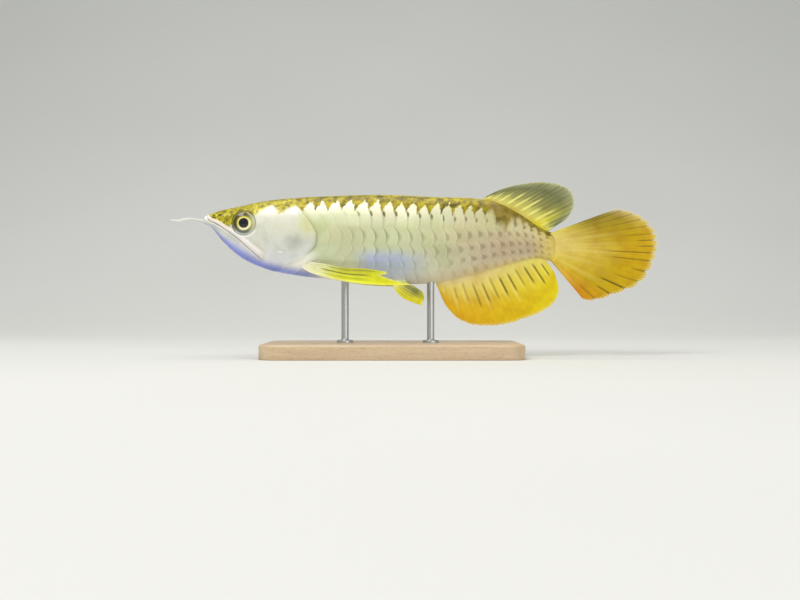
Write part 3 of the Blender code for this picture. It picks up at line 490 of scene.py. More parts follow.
def new_material(name):
    """A material, its node tree, its one Principled shader and the place that its patterns follow."""
    made = bpy.data.materials.new(name)
    made.use_nodes = True
    tree = made.node_tree
    return made, tree, tree.nodes["Principled BSDF"], add_node(tree, "TexCoord", output="Object")


def layered(tree, colour, *layers):
    """Lays tints over a colour in turn, each by its share: plainly, or in the way that a third word says."""
    for share, tint, *way in layers:
        colour = add_node(tree, "Mix", {0: share, 6: colour, 7: tint}, output=2, data_type="RGBA",
                          blend_type=way[0] if way else "MIX")
    return colour


def body_colours(tree):
    """The body's pale colour down its side, in front and towards the tail, shared by skin and scales.

    Pale green on the flank with a lilac patch below its middle, which is a painted reflection; pinkish sand
    towards the rear, gold at the stem, and under the throat a white band over a violet one, which is partly a
    painted reflection. Low on the body the colours are lightened, painted light against the shade beneath it.
    """
    # Low on the body the stops are lightened, as painted light against the shade beneath it, here and in the
    # rear
    front = add_node(tree, "ValToRGB", ["girth"], stops=(
        (0.15, "#F8F8E8"), (0.28, "#F2F2D4"), (0.42, "#D6DAAE"), (0.58, "#CED4AC"), (0.72, "#D4DEBC"),
        (0.84, "#E0ECD2"), (0.96, "#F0F8EA")))
    rear = add_node(tree, "ValToRGB", ["girth"], stops=(
        (0.15, "#CCC088"), (0.35, "#C8C094"), (0.5, "#C4B68E"), (0.65, "#C2AE90"), (0.8, "#C6B498"),
        (0.9, "#DCCCA2"), (1.0, "#EAD89C")))
    stem = add_node(tree, "ValToRGB", ["girth"], stops=(
        (0.0, "#C8B240"), (0.3, "#D6C05C"), (0.6, "#DAC464"), (1.0, "#E2CC58")))
    to_rear = add_node(tree, "ValToRGB", ["length"], stops=((0.55, 0.0), (0.82, 1.0)))
    to_stem = add_node(tree, "ValToRGB", ["length"], stops=((0.895, 0.0), (0.955, 1.0)))
    middle = add_node(tree, "ValToRGB", ["length"], stops=(
        (0.41, 0.0), (0.46, 0.85), (0.54, 0.8), (0.64, 0.0)))
    low = add_node(tree, "ValToRGB", ["girth"], stops=((0.6, 0.0), (0.7, 1.0), (0.9, 0.8), (1.0, 0.2)))
    # Painted reflection: a lilac patch low on the middle of the flank
    lilac = add_node(tree, "Math", [middle, low], operation="MULTIPLY")
    chest = add_node(tree, "ValToRGB", ["length"], stops=((0.285, 1.0), (0.33, 0.0)))
    under = add_node(tree, "ValToRGB", ["girth"], stops=((0.62, 0.0), (0.7, 1.0)))
    throat = add_node(tree, "Math", [under, chest], operation="MULTIPLY")
    return layered(tree, front, (lilac, "#B2BEEC"), (to_rear, rear), (to_stem, stem), (throat, "#FAFAF0"),
                   ("violet", "#98A8F2"))


def olive_back(tree, place):
    """The dark back: mottled olive, browner under the back fin, with a bright yellow line along the ridge."""
    cloud = add_node(tree, "TexNoise", {"Vector": place, "Scale": repeats(3.85), "Detail": 3.0})
    mottled = add_node(tree, "ValToRGB", [cloud], stops=(
        (0.33, "#5E5204"), (0.47, "#8C7E0A"), (0.6, "#B6A616")))
    blotch = add_node(tree, "TexNoise", {"Vector": place, "Scale": repeats(6.67), "Detail": 3.0})
    browns = add_node(tree, "ValToRGB", [blotch], stops=((0.4, "#66520E"), (0.62, "#968040")))
    under_fin = add_node(tree, "ValToRGB", ["length"], stops=((0.73, 0.0), (0.81, 0.85), (0.95, 0.6)))
    uneven = add_node(tree, "Math", [blotch, 0.12, "girth"], operation="MULTIPLY_ADD")
    ridge = add_node(tree, "ValToRGB", [uneven], stops=((0.09, 0.9), (0.15, 0.0)))
    before_fin = add_node(tree, "ValToRGB", ["length"], stops=((0.755, 1.0), (0.79, 0.25)))
    line = add_node(tree, "Math", [ridge, before_fin], operation="MULTIPLY")
    return layered(tree, mottled, (under_fin, browns), (line, "#D9CB36"))


def leaf_olive(tree, place, cloud):
    """Where the back's olive shows: on the back row, and in wedges between the leaf-shaped tops of the next.

    With d = |2 f - 1|, where f is how far a place lies between two wedges, the olive reaches down the row
    by deep * (0.55 d ^ 0.5 + 0.45 d ^ 4 + wobble), which leaves pale flames with narrow tips. The wobble is
    coarse and fine noise round 0, and the olive fades in over a share of the row, which is soft.
    """
    between = add_node(tree, "Math", ["column"], operation="FRACT")
    either_side = add_node(tree, "Math", [between, 2.0, -1.0], operation="MULTIPLY_ADD")
    away = add_node(tree, "Math", [either_side], operation="ABSOLUTE")
    fine = add_node(tree, "TexNoise", {"Vector": place, "Scale": repeats(0.909), "Detail": 2.0})
    wobble = add_node(tree, "Math", [fine, 0.4, -0.6], operation="MULTIPLY_ADD")
    edge = add_node(tree, "Math", [cloud, 0.8, wobble], operation="MULTIPLY_ADD")
    for power, share in ((0.5, 0.55), (4.0, 0.45)):
        raised = add_node(tree, "Math", [away, power], operation="POWER")
        edge = add_node(tree, "Math", [raised, share, edge], operation="MULTIPLY_ADD")
    line = add_node(tree, "Math", [edge, "deep"], operation="MULTIPLY")
    above_line = add_node(tree, "Math", [line, "down"], operation="SUBTRACT")
    faded = add_node(tree, "Math", [above_line, "soft"], operation="DIVIDE")
    return add_node(tree, "ValToRGB", [faded], stops=((0.0, 0.0), (1.0, 1.0)))


def pearl_scale():
    """Guanine-backed fish scale: a clear horny plate over a mirror-like layer, so it is satin and pearly.

    Each scale has a painted highlight along its pale rim, painted shadow where it comes out from under the
    one before it, and on some rows a ragged spot there. Growth rings are drawn coarser than the real 0.1 mm,
    to show at this size.
    """
    made, tree, shader, place = new_material("pearl_scale")
    broad = add_node(tree, "TexNoise", {"Vector": place, "Scale": repeats(16.7), "Detail": 2.0})
    sheen = add_node(tree, "ValToRGB", [broad], stops=(
        (0.35, "#E6EED6"), (0.5, "#FFFFFF"), (0.65, "#F6ECE6")))
    # Painted highlight along each scale's free rear rim
    rim = add_node(tree, "ValToRGB", ["ring"], stops=((0.88, 0.0), (0.97, 0.18)))
    # Painted shadow just behind the covering edge of the scale before
    root = add_node(tree, "ValToRGB", ["behind"], stops=((0.0, 1.0), (0.08, 0.8), (0.26, 0.0)))
    seam = add_node(tree, "Math", [root, "seam"], operation="MULTIPLY")
    cloud = add_node(tree, "TexNoise", {"Vector": place, "Scale": repeats(2.38), "Detail": 3.0})
    from_spot = add_node(tree, "CombineXYZ", ["spot_x", "spot_z"])
    radius = add_node(tree, "VectorMath", [from_spot], output="Value", operation="LENGTH")
    inner = add_node(tree, "Math", [radius, 0.15], operation="SUBTRACT")
    ragged = add_node(tree, "Math", [cloud, 1.5, inner], operation="MULTIPLY_ADD")
    scaled = add_node(tree, "Math", [ragged, 0.4], operation="MULTIPLY")
    blot = add_node(tree, "ValToRGB", [scaled], stops=((0.5, 1.0), (0.78, 0.0)))
    spot = add_node(tree, "Math", [blot, "spot"], operation="MULTIPLY")
    # The painted edge shadow and the dark spots share one colour
    shadow_and_spot = add_node(tree, "Math", [seam, spot], operation="MAXIMUM")
    dark = add_node(tree, "ValToRGB", ["length"], stops=(
        (0.5, "#70703E"), (0.66, "#868060"), (0.78, "#9A8870"), (0.95, "#90763E")))
    leaf_tip = add_node(tree, "ValToRGB", ["down"], stops=((0.02, 0.75), (0.26, 0.0)))
    late = add_node(tree, "ValToRGB", ["length"], stops=((0.44, 0.0), (0.52, 1.0), (0.72, 1.0), (0.78, 0.0)))
    lemon_tip = add_node(tree, "Math", [leaf_tip, late], operation="MULTIPLY")
    olive = leaf_olive(tree, place, cloud)
    # Painted edge shadow where the scale lies in the back's olive, laid in dark olive
    on_olive = add_node(tree, "Math", [olive, "score"], operation="MULTIPLY")
    shadow_on_olive = add_node(tree, "Math", [root, on_olive], operation="MULTIPLY")
    tone = add_node(tree, "ValToRGB", ["tone"], stops=((0.0, "#F5F5F5"), (1.0, "#FFFFFF")))
    colour = layered(tree, body_colours(tree), (0.5, sheen, "MULTIPLY"), (rim, "#F2F0D8"), (shadow_and_spot, dark),
                     (lemon_tip, "#E6E070"), (olive, olive_back(tree, place)), (shadow_on_olive, "#4E4608"),
                     (1.0, tone, "MULTIPLY"))
    turn = add_node(tree, "Math", ["ring", math.tau * SCALE_LENGTH / GROWTH_RING], operation="MULTIPLY")
    waves = add_node(tree, "Math", [turn], operation="SINE")
    fine = add_node(tree, "TexNoise", {"Vector": place, "Scale": repeats(0.667), "Detail": 2.0})
    ring_depth = add_node(tree, "Math", [olive, -0.3, 0.3], operation="MULTIPLY_ADD")
    rough = add_node(tree, "Math", [waves, ring_depth, fine], operation="MULTIPLY_ADD")
    relief = add_node(tree, "Bump", {"Height": rough, "Strength": 0.15, "Distance": 0.2 * MM})
    feed(tree, shader, {"Base Color": colour, "Normal": relief, "Roughness": 0.36, "Metallic": 0.18,
                        "IOR": 1.45, "Coat Weight": 0.16, "Coat Roughness": 0.18, "Specular IOR Level": 0.35})
    return made


def wet_skin():
    """Thin living skin over bone and silvery tissue: glossy, silver cheeks and an olive gold crown."""
    made, tree, shader, place = new_material("wet_skin")
    silver = add_node(tree, "ValToRGB", ["girth"], stops=(
        (0.2, "#F0F0D6"), (0.33, "#E8E8DA"), (0.5, "#DCDDD0"), (0.64, "#D8DAD4"), (0.78, "#E0E1E6"),
        (1.0, "#E4E4EE")))
    # The violet under the head is partly the skin's own and partly a painted reflection of blue light from
    # below
    head = layered(tree, silver, ("violet", "#8A96E8"), ("gold_rear", "#D5D896"))
    on_head = add_node(tree, "ValToRGB", ["on_head"], stops=((0.4, 0.0), (0.6, 1.0)))
    cloud = add_node(tree, "TexNoise", {"Vector": place, "Scale": repeats(11.1), "Detail": 3.0})
    sheen = add_node(tree, "ValToRGB", [cloud], stops=(
        (0.35, "#DDE0D6"), (0.55, "#FFFFFF"), (0.7, "#F6F0DC")))
    ragged = add_node(tree, "TexNoise", {"Vector": place, "Scale": repeats(3.03), "Detail": 4.0,
                                         "Roughness": 0.65})
    reach = add_node(tree, "Math", [ragged, 0.6, "cap"], operation="MULTIPLY_ADD")
    crown = add_node(tree, "ValToRGB", [reach], stops=((0.74, 0.0), (0.9, 1.0)))
    speck = add_node(tree, "TexNoise", {"Vector": place, "Scale": repeats(1.92), "Detail": 4.0,
                                        "Roughness": 0.7})
    olive = add_node(tree, "ValToRGB", [speck], stops=(
        (0.34, "#6E6210"), (0.45, "#94881A"), (0.56, "#BDB222"), (0.68, "#D8CE40")))
    # Among these tints, pale is painted highlights, socket and groove are painted shade, shade is painted
    # shade in pits, creases and the gill slit, and violet is partly a painted reflection
    colour = layered(tree, body_colours(tree), (on_head, head), (0.7, sheen, "MULTIPLY"), (crown, olive),
                     ("dull", "#8F8F92"), ("maxilla", "#F4E6E0"), ("pale", "#F6F8F6"), ("socket", "#6A6622"),
                     ("shade", "#6E6A3C"), ("groove", "#858A9E"))
    pits = add_node(tree, "TexNoise", {"Vector": place, "Scale": repeats(1.11), "Detail": 4.0})
    relief = add_node(tree, "Bump", {"Height": pits, "Strength": 0.2, "Distance": 0.3 * MM})
    feed(tree, shader, {"Base Color": colour, "Normal": relief, "Roughness": 0.34, "Metallic": 0.12,
                        "IOR": 1.42, "Coat Weight": 0.2, "Coat Roughness": 0.16, "Specular IOR Level": 0.35})
    return made


def fin_finish(name, bands, ray, streak, clear):
    """Fin web and bony rays: a thin moist web that lets light through, with solid jointed rays in it.

    bands are colour stops from root to edge at places from the first ray to the last. ray is the rays'
    colour and how strongly it shows, streak that of the strokes between them, and clear how see-through the
    web is at its root, in its middle and at its edge.
    """
    made, tree, shader, place = new_material(name)
    colour = add_node(tree, "ValToRGB", ["out"], stops=bands[0][1])
    for (start, _), (end, stops) in zip(bands, bands[1:]):
        further = add_node(tree, "ValToRGB", ["out"], stops=stops)
        turn = add_node(tree, "ValToRGB", ["place"], stops=((start, 0.0), (end, 1.0)))
        colour = layered(tree, colour, (turn, further))
    cloud = add_node(tree, "TexNoise", {"Vector": place, "Scale": repeats(7.14), "Detail": 4.0})
    cast = add_node(tree, "ValToRGB", [cloud], stops=((0.3, "#DCC68A"), (0.6, "#FFFFFF")))
    pale = add_node(tree, "Math", ["pale_ray", ray[1]], operation="MULTIPLY")
    stroke = add_node(tree, "Math", ["dash", streak[1]], operation="MULTIPLY")
    colour = layered(tree, colour, (0.5, cast, "MULTIPLY"), (pale, ray[0]), (stroke, streak[0]),
                     ("fringe", "#F2EDB0"))
    thin = add_node(tree, "ValToRGB", ["out"], stops=((0.02, clear[0]), (0.45, clear[1]), (0.95, clear[2])))
    web = add_node(tree, "Math", [thin, "web"], operation="MULTIPLY")
    between = add_node(tree, "ValToRGB", ["ray"], stops=((0.1, 1.0), (0.6, 0.0)))
    see = add_node(tree, "Math", [web, between], operation="MULTIPLY")
    alpha = add_node(tree, "Math", [1.0, see], operation="SUBTRACT")
    turn = add_node(tree, "Math", ["run", math.tau / RAY_JOINT], operation="MULTIPLY")
    joints = add_node(tree, "Math", [turn], operation="SINE")
    bone = add_node(tree, "Math", ["ray", "out"], operation="MULTIPLY")
    raised = add_node(tree, "Math", [joints, bone], operation="MULTIPLY")
    relief = add_node(tree, "Bump", {"Height": raised, "Strength": 0.2, "Distance": 0.2 * MM})
    feed(tree, shader, {"Base Color": colour, "Normal": relief, "Alpha": alpha, "Roughness": 0.5, "IOR": 1.36,
                        "Coat Weight": 0.08, "Coat Roughness": 0.25, "Specular IOR Level": 0.25})
    return made


def eye_finish():
    """A wet eyeball: black pupil, pale gold ring, and an iris dark olive above, grey below, pale behind.

    The dark olive above is painted shade of the hollow that the eye sits in, and the near-white edge below
    a painted highlight.
    """
    made, tree, shader, place = new_material("wet_eye")
    fleck = add_node(tree, "TexNoise", {"Vector": place, "Scale": repeats(1.11), "Detail": 4.0,
                                        "Roughness": 0.7})
    wander = add_node(tree, "Math", [fleck, 0.09, -0.045], operation="MULTIPLY_ADD")
    edge = add_node(tree, "Math", ["disc", wander], operation="ADD")
    pupil = ((0.0, "#0C080E"), (0.41, "#140E12"))
    # Above: dark olive, painted shade from the hollow round the eye
    above = add_node(tree, "ValToRGB", [edge], stops=pupil + (
        (0.45, "#EEE68C"), (0.53, "#D6CC50"), (0.61, "#6E661C"), (0.74, "#37320E"), (0.86, "#4C4618"),
        (0.95, "#8A8434"), (1.0, "#A8A250")))
    # Below: grey, with a painted highlight near white at its edge
    below = add_node(tree, "ValToRGB", [edge], stops=pupil + (
        (0.45, "#FAF6C8"), (0.58, "#F0ECB0"), (0.64, "#7A7E66"), (0.78, "#595F58"), (0.88, "#8D948C"),
        (0.95, "#D4D9D2"), (1.0, "#E4E8E2")))
    behind = add_node(tree, "ValToRGB", [edge], stops=pupil + (
        (0.45, "#F6F2AC"), (0.6, "#E4DE84"), (0.7, "#ACAA5C"), (0.84, "#BEBE92"), (0.95, "#D8DABE"),
        (1.0, "#E2E4D0")))
    upper = add_node(tree, "ValToRGB", ["up"], stops=((0.35, 0.0), (0.6, 1.0)))
    rear = add_node(tree, "ValToRGB", ["aft"], stops=((0.62, 0.0), (0.88, 1.0)))
    feed(tree, shader, {"Base Color": layered(tree, below, (upper, above), (rear, behind)), "Roughness": 0.25,
                        "IOR": 1.36, "Coat Weight": 0.6, "Coat Roughness": 0.03})
    return made


def barbel_finish():
    """Soft bare skin of a feeler: pale and moist, a little yellower towards its root."""
    made, tree, shader, place = new_material("barbel_skin")
    colour = add_node(tree, "ValToRGB", ["out"], stops=((0.0, "#E4E4D2"), (0.3, "#DEE1D8"), (1.0, "#E8EAE4")))
    pores = add_node(tree, "TexNoise", {"Vector": place, "Scale": repeats(1.67)})
    relief = add_node(tree, "Bump", {"Height": pores, "Strength": 0.2, "Distance": 0.2 * MM})
    feed(tree, shader, {"Base Color": colour, "Normal": relief, "Roughness": 0.4, "IOR": 1.4,
                        "Coat Weight": 0.3})
    return made


def brushed_steel():
    """Stainless rod, finely brushed along its length: plain grey metal with soft glints.

    The brush lines are 0.25 mm apart and about 17 mm long, coarser than the real ones, so that they show.
    """
    made, tree, shader, place = new_material("brushed_steel")
    drawn = add_node(tree, "Mapping", {"Vector": place, "Scale": [repeats(mm) for mm in (0.25, 0.25, 16.7)]})
    lines = add_node(tree, "TexNoise", {"Vector": drawn, "Scale": 1.0, "Detail": 2.0})
    tint = add_node(tree, "ValToRGB", [lines], stops=((0.3, "#B4B5B7"), (0.7, "#C6C7C9")))
    gloss = add_node(tree, "ValToRGB", [lines], stops=((0.3, 0.32), (0.7, 0.44)))
    relief = add_node(tree, "Bump", {"Height": lines, "Strength": 0.05, "Distance": 0.1 * MM})
    feed(tree, shader, {"Base Color": tint, "Roughness": gloss, "Normal": relief, "Metallic": 1.0})
    return made


def oiled_maple():
    """Pale maple, oiled: satin, with faint grain along the base's length and short fine pores.

    The grain's streaks are 56 mm long and 4 mm wide. The pores, 2 mm long and 0.25 mm wide, are coarser
    than the real ones, so that they show.
    """
    made, tree, shader, place = new_material("oiled_maple")
    along = add_node(tree, "Mapping", {"Vector": place, "Scale": [repeats(mm) for mm in (55.6, 3.85, 3.85)]})
    grain = add_node(tree, "TexNoise", {"Vector": along, "Scale": 1.0, "Detail": 6.0, "Roughness": 0.6,
                                        "Distortion": 0.4})
    short = add_node(tree, "Mapping", {"Vector": place, "Scale": [repeats(mm) for mm in (2.0, 0.25, 0.25)]})
    pores = add_node(tree, "TexNoise", {"Vector": short, "Scale": 1.0, "Detail": 2.0})
    tint = add_node(tree, "ValToRGB", [grain], stops=((0.3, "#BFA585"), (0.5, "#CCB392"), (0.7, "#D6C0A2")))
    pore_tint = add_node(tree, "ValToRGB", [pores], stops=((0.3, "#D8C8B4"), (0.45, "#FFFFFF")))
    gloss = add_node(tree, "ValToRGB", [grain], stops=((0.3, 0.5), (0.7, 0.38)))
    relief = add_node(tree, "Bump", {"Height": pores, "Strength": 0.2, "Distance": 0.2 * MM})
    feed(tree, shader, {"Base Color": layered(tree, tint, (0.7, pore_tint, "MULTIPLY")), "Roughness": gloss,
                        "Normal": relief, "IOR": 1.5, "Coat Weight": 0.15, "Coat Roughness": 0.3})
    return made


def matte_paper():
    """Uncoated studio paper: an even pale grey without gloss."""
    made, tree, shader, place = new_material("matte_paper")
    cloud = add_node(tree, "TexNoise", {"Vector": place, "Scale": repeats(333)})
    tint = add_node(tree, "ValToRGB", [cloud], stops=((0.3, "#DCDDDC"), (0.7, "#E0E1E0")))
    feed(tree, shader, {"Base Color": tint, "Roughness": 0.9})
    return made


def mouth_form(x, z):
    """Relief, plate and marks of the mouth, from distances to its line in side view.

    The mouth is a narrow slit along its line, with the lip of the lower jaw below it and the flat plate of
    the maxilla above it, which has a round rear end and a faint crease over it.
    """
    along, above, past = nearest(MOUTH_LINE, x, z)
    open_line = 1 - ease(past / 1.2)
    width = smooth(MAXILLA_WIDTH, along)
    across = np.abs(2 * above / width - 1)
    rounded = past + 2.2 * across**2 * ease((along - 0.8) / 0.2)
    plate = ease((1 - across) * width / 0.6) * (1 - ease((rounded - 0.6) / 1.6)) * ease((along + 0.03) / 0.1)
    slit = 0.55 * bump(above / 0.42)
    lip = 0.4 * bump(above + 1.1)
    crease = 0.12 * bump((above - width - 0.5) / 0.5) * ease((along - 0.15) / 0.1)
    lower_part = ease((along - 0.42) / 0.15) * (1 - ease((along - 0.92) / 0.08))
    glint = 0.85 * bump((above - 0.72 * width) / 1.1) * lower_part * (above > -0.2)
    # Painted shade along the mouth's slit
    groove = 0.35 * bump(above / 0.45) * open_line * (1 - 0.4 * along) * ease((x - 2.5) / 6)
    maxilla = plate * (1 - 0.55 * ease((along - 0.45) / 0.5))
    return 0.5 * plate + (lip - slit - crease) * open_line, plate, glint, groove, maxilla


def head_relief(x, z, share):
    """How far the head's skin stands out from the plain body, and its marks, from distances in side view.

    To the mouth's relief come the eye's hollow with a low rim, small rimmed nostrils, a shallow groove
    behind the cheek, and the gill cover, which swells a little before its edge. The marks are shares of one
    tint each. Among them are painted shade above and in front of the eye, in the nostrils, the cheek's
    crease, along the gill cover's edge and in the mouth's slit, painted highlights of wet glints, and a
    violet band that is partly a painted reflection.
    """
    mouth, plate, mouth_glint, groove, maxilla = mouth_form(x, z)
    side, high = x - EYE_CENTRE[0], z - EYE_CENTRE[1]
    from_eye = np.hypot(side, high)
    outside = from_eye - EYE_RADIUS
    hollow = ease((0.35 - outside) / 0.5)
    lift = mouth * (1 - hollow) + 0.35 * bump((outside - 0.9) / 1.1) - EYE_HOLLOW * hollow
    pits = 0.0 * x
    for pit_x, pit_z, radius in NOSTRILS:
        away = np.hypot(x - pit_x, z - pit_z) - radius
        lift = lift - 0.8 * ease(0.5 - away / 0.3) + 0.16 * bump((away - 0.35) / 0.4)
        pits = np.maximum(pits, ease((0.1 - away) / 0.3))
    _, beside, beyond = nearest(CHEEK_EDGE, x, z)
    on_cheek = (1 - ease(beyond / 1.5)) * ease((8 - z) / 10)
    cheek = bump(beside / 0.8) * on_cheek
    lift = lift - 0.12 * cheek + 0.06 * bump((beside - 1.8) / 1.8) * on_cheek
    before = gill_x(share) - x
    cover = ease((share - 0.2) / 0.08) * ease((0.9 - share) / 0.06) * ease((x - 38) / 8)
    lift = lift + cover * (0.35 - 0.2 * np.exp(-np.abs(before) / 0.35) + 0.12 * bump((before - 2.2) / 1.2))
    # Painted highlights of wet glints: on the maxilla, the snout's tip, the rim below the eye, low on the
    # gill cover and at HEAD_GLINTS; the crescent below the eye is partly the skin's own silver as well
    tip = bump(np.hypot((x - 2.0) / 3.2, (z - 12.0) / 3.2))
    below_eye = ease((-high / (from_eye + 0.1) - 0.3) / 0.4)
    low_on_cover = ease((share - 0.68) / 0.05) * ease((0.9 - share) / 0.05)
    glints = [mouth_glint, 0.75 * tip, 0.9 * bump((outside - 1.0) / 0.7) * below_eye,
              0.8 * bump(before - 0.8) * low_on_cover]
    for middle_x, middle_z, half_length, half_height, slope, strength in HEAD_GLINTS:
        off_x = x - middle_x
        off_z = z - middle_z - slope * off_x
        glints.append(strength * bump(np.hypot(off_x / half_length, off_z / half_height)))
    cover_edge = 0.45 * bump(before / 0.7) * ease((share - 0.17) / 0.05) * ease((0.62 - share) / 0.1)
    return lift, {
        "maxilla": maxilla,
        # Painted shade above and in front of the eye, in its socket
        "socket": np.clip(bump(outside / 0.6) * 0.5 * ease((high - 0.8 * side + 1.5) / 6), 0, 1),
        "shade": np.clip(np.maximum.reduce([pits, 0.07 * cheek, cover_edge]), 0, 1),
        # A grey patch on the gill cover
        "dull": 0.3 * bump(np.hypot((x - 52.0) / 6.0, (z + 0.8) / 5.0)),
        "violet": violet_band(x, share),
        # Painted shade along the mouth's slit
        "groove": np.clip(groove, 0, 1),
        # Painted highlights of the wet glints
        "pale": np.clip(np.maximum.reduce(glints), 0, 1),
        "cap": np.clip(0.5 + (z - smooth(CAP_EDGE, x)) / 8, 0, 1) * (1 - plate) * (1 - 0.7 * tip),
        "gold_rear": 0.8 * ease((x - 48) / 12) * ease((z + 2) / 10),
    }


def skin_piece(finish):
    """The whole skin as one tube of rings from chin to tail stem.

    In the head each ring lies at a share of the way to the gill opening, so one ring runs exactly along it,
    and behind it each lies at a share of the way on to the tail stem, whose end is drawn in to a thin edge.
    There the skin lies just under the scales, with a fold behind the gill cover and its olive cap on the
    nape.
    """
    around = 300
    right = np.arange(around // 2 + 1) / (around // 2)
    share = np.concatenate([right, -right[-2:0:-1]])[None, :]
    head = np.concatenate([np.linspace(0.004, 1, 236) ** 1.15 * 0.985, [0.99, 0.994, 0.997, 1.0]])
    rest = np.concatenate([[0.0012, 0.004, 0.008, 0.015], np.linspace(0.025, 1, 70)])
    edge = gill_x(share)
    x = np.concatenate([edge * head[:, None], edge + (SKIN_END - edge) * rest[:, None]])
    share = np.broadcast_to(share, x.shape)
    down = np.abs(share)
    raised, marks = head_relief(x, body(x, share)[..., 2], down)
    on_head = (np.arange(len(x)) < len(head))[:, None]
    fold = 0.25 * bump((x - edge - 0.6) / 0.8) * ease((down - 0.2) / 0.1) * (1 - ease((down - 0.56) / 0.14))
    lift = np.where(on_head, raised * ease(x / 1.2), -behind_gills(x, share) - 0.12 - fold)
    points = body(x, share, lift)
    points[..., 1] *= stem_taper(x)
    ends = (0.0, 0.0, CHIN_HEIGHT), points[-1].mean(axis=0)
    chin, stem = (np.broadcast_to(end, (1, around, 3)) for end in ends)
    points = np.concatenate([chin, points, stem])
    under = {"shade": 0.45 * ease((0.62 - down) / 0.15) * ease((down - 0.14) / 0.06),
             "violet": violet_band(x, share), "cap": ease((0.22 - down) / 0.05)}
    values = {key: np.where(on_head, mark, under.get(key, 0.0)) for key, mark in marks.items()}
    values |= {"girth": down, "length": x / BODY_LENGTH, "on_head": np.where(on_head, 1.0, 0.0) + 0 * x}
    values = {key: np.pad(value, [(1, 1), (0, 0)], mode="edge") for key, value in values.items()}
    i, j = np.meshgrid(np.arange(len(points) - 1), np.arange(around), indexing="ij")
    u = np.stack([j, j + 1, j + 1, j], -1) / around
    v = np.stack([i, i, i + 1, i + 1], -1) / (len(points) - 1)
    uv = np.stack([0.002 + 0.996 * u, 0.002 + 0.996 * v], -1).reshape(-1, 4, 2)
    return piece("skin", points.reshape(-1, 3), grid_faces(len(points), around, closed=True), finish,
                 "scale_skin", FLESH, uv, **values)


def row_share(level, column):
    """Share of the half girth at a row level, which runs from 0 on the back to ROWS on the belly."""
    own = np.interp(level, np.arange(ROWS + 1), ROW_EDGES)
    first, last = EVEN_ROWS
    return own + (level / ROWS - own) * ease((column - first) / (last - first))


def column_x(column, share):
    """Where a column line of scales lies: leaning on the body, and curved with the gill opening in front."""
    plain = smooth(COLUMN_STARTS, column) + smooth(COLUMN_LEAN, column) * share
    plain = plain + np.minimum(column, 0) * BEFORE_FIRST
    first = COLUMN_STARTS[0][1] + COLUMN_LEAN[0][1] * share
    return plain + (1 - ease(column / GILL_FADE)) * (gill_x(share) - first)


def per_row(values):
    """One value for each row of scales, along the second of the coat's four directions."""
    return np.array(values)[None, :, None, None]


def spot_marks(x, row, behind, across, front, rear):
    """The dark spot at a scale's root: the way from its middle in its own half sizes, and its strength.

    The spots of the second row are short and low in front, and grow and move down towards the rear.
    """
    late = ease((x - 160) / 14)
    second = row == 1
    wide = np.where(second, 0.11 + 0.13 * late, 0.13 + 0.12 * rear)
    tall = np.where(second, 0.2 + 0.25 * late, 0.5 - 0.02 * rear)
    middle = np.where(second, 0.02 + 0.3 * ease((x - 115) / 30), 0.0)
    shown = per_row(FRONT_SPOTS) + (per_row(REAR_SPOTS) - per_row(FRONT_SPOTS)) * rear
    return {"spot_x": (behind - 0.05 - 0.7 * wide) / wide, "spot_z": (across - middle) / tall,
            "spot": shown * front * (1 - 0.8 * ease((x - 185) / 8))}


def leaf_marks(x, share, nape, draw):
    """Where the back's olive reaches down between the leaf-shaped pale tops of the second row.

    column counts the leaves along the body and leans forward towards their tips. down is how far below the
    back row a place lies, as a share of the second row, a little more or less for each leaf, and less on
    the nape and under the back fin. deep is how far the olive reaches down, and soft over what share it
    fades.
    """
    levels = np.arange(COLUMNS + 1)
    column = np.interp(x - 1.77, column_x(levels, 0.25), levels)
    under_fin = bump((x - 164.5) / 8)
    down = (share - ROW_EDGES[1]) / (ROW_EDGES[2] - ROW_EDGES[1]) - 0.95 * under_fin
    column = column - 0.24 * np.clip(1 - down / 0.45, 0, 1.3) * ease((x - 64) / 12)
    leaf = np.clip(np.floor(column), -1, COLUMNS).astype(int) + 1
    down = down + draw.uniform(-0.07, 0.07, COLUMNS + 2)[leaf]
    down = down - 2 * nape * (1 - ease((x - gill_x(share) - 1) / 2))
    soft = 0.08 + 0.42 * ease((x - 152) / 8) * (1 - 0.75 * ease((x - 172) / 8))
    return {"column": column, "down": down, "deep": 0.56 - 0.17 * under_fin, "soft": soft}


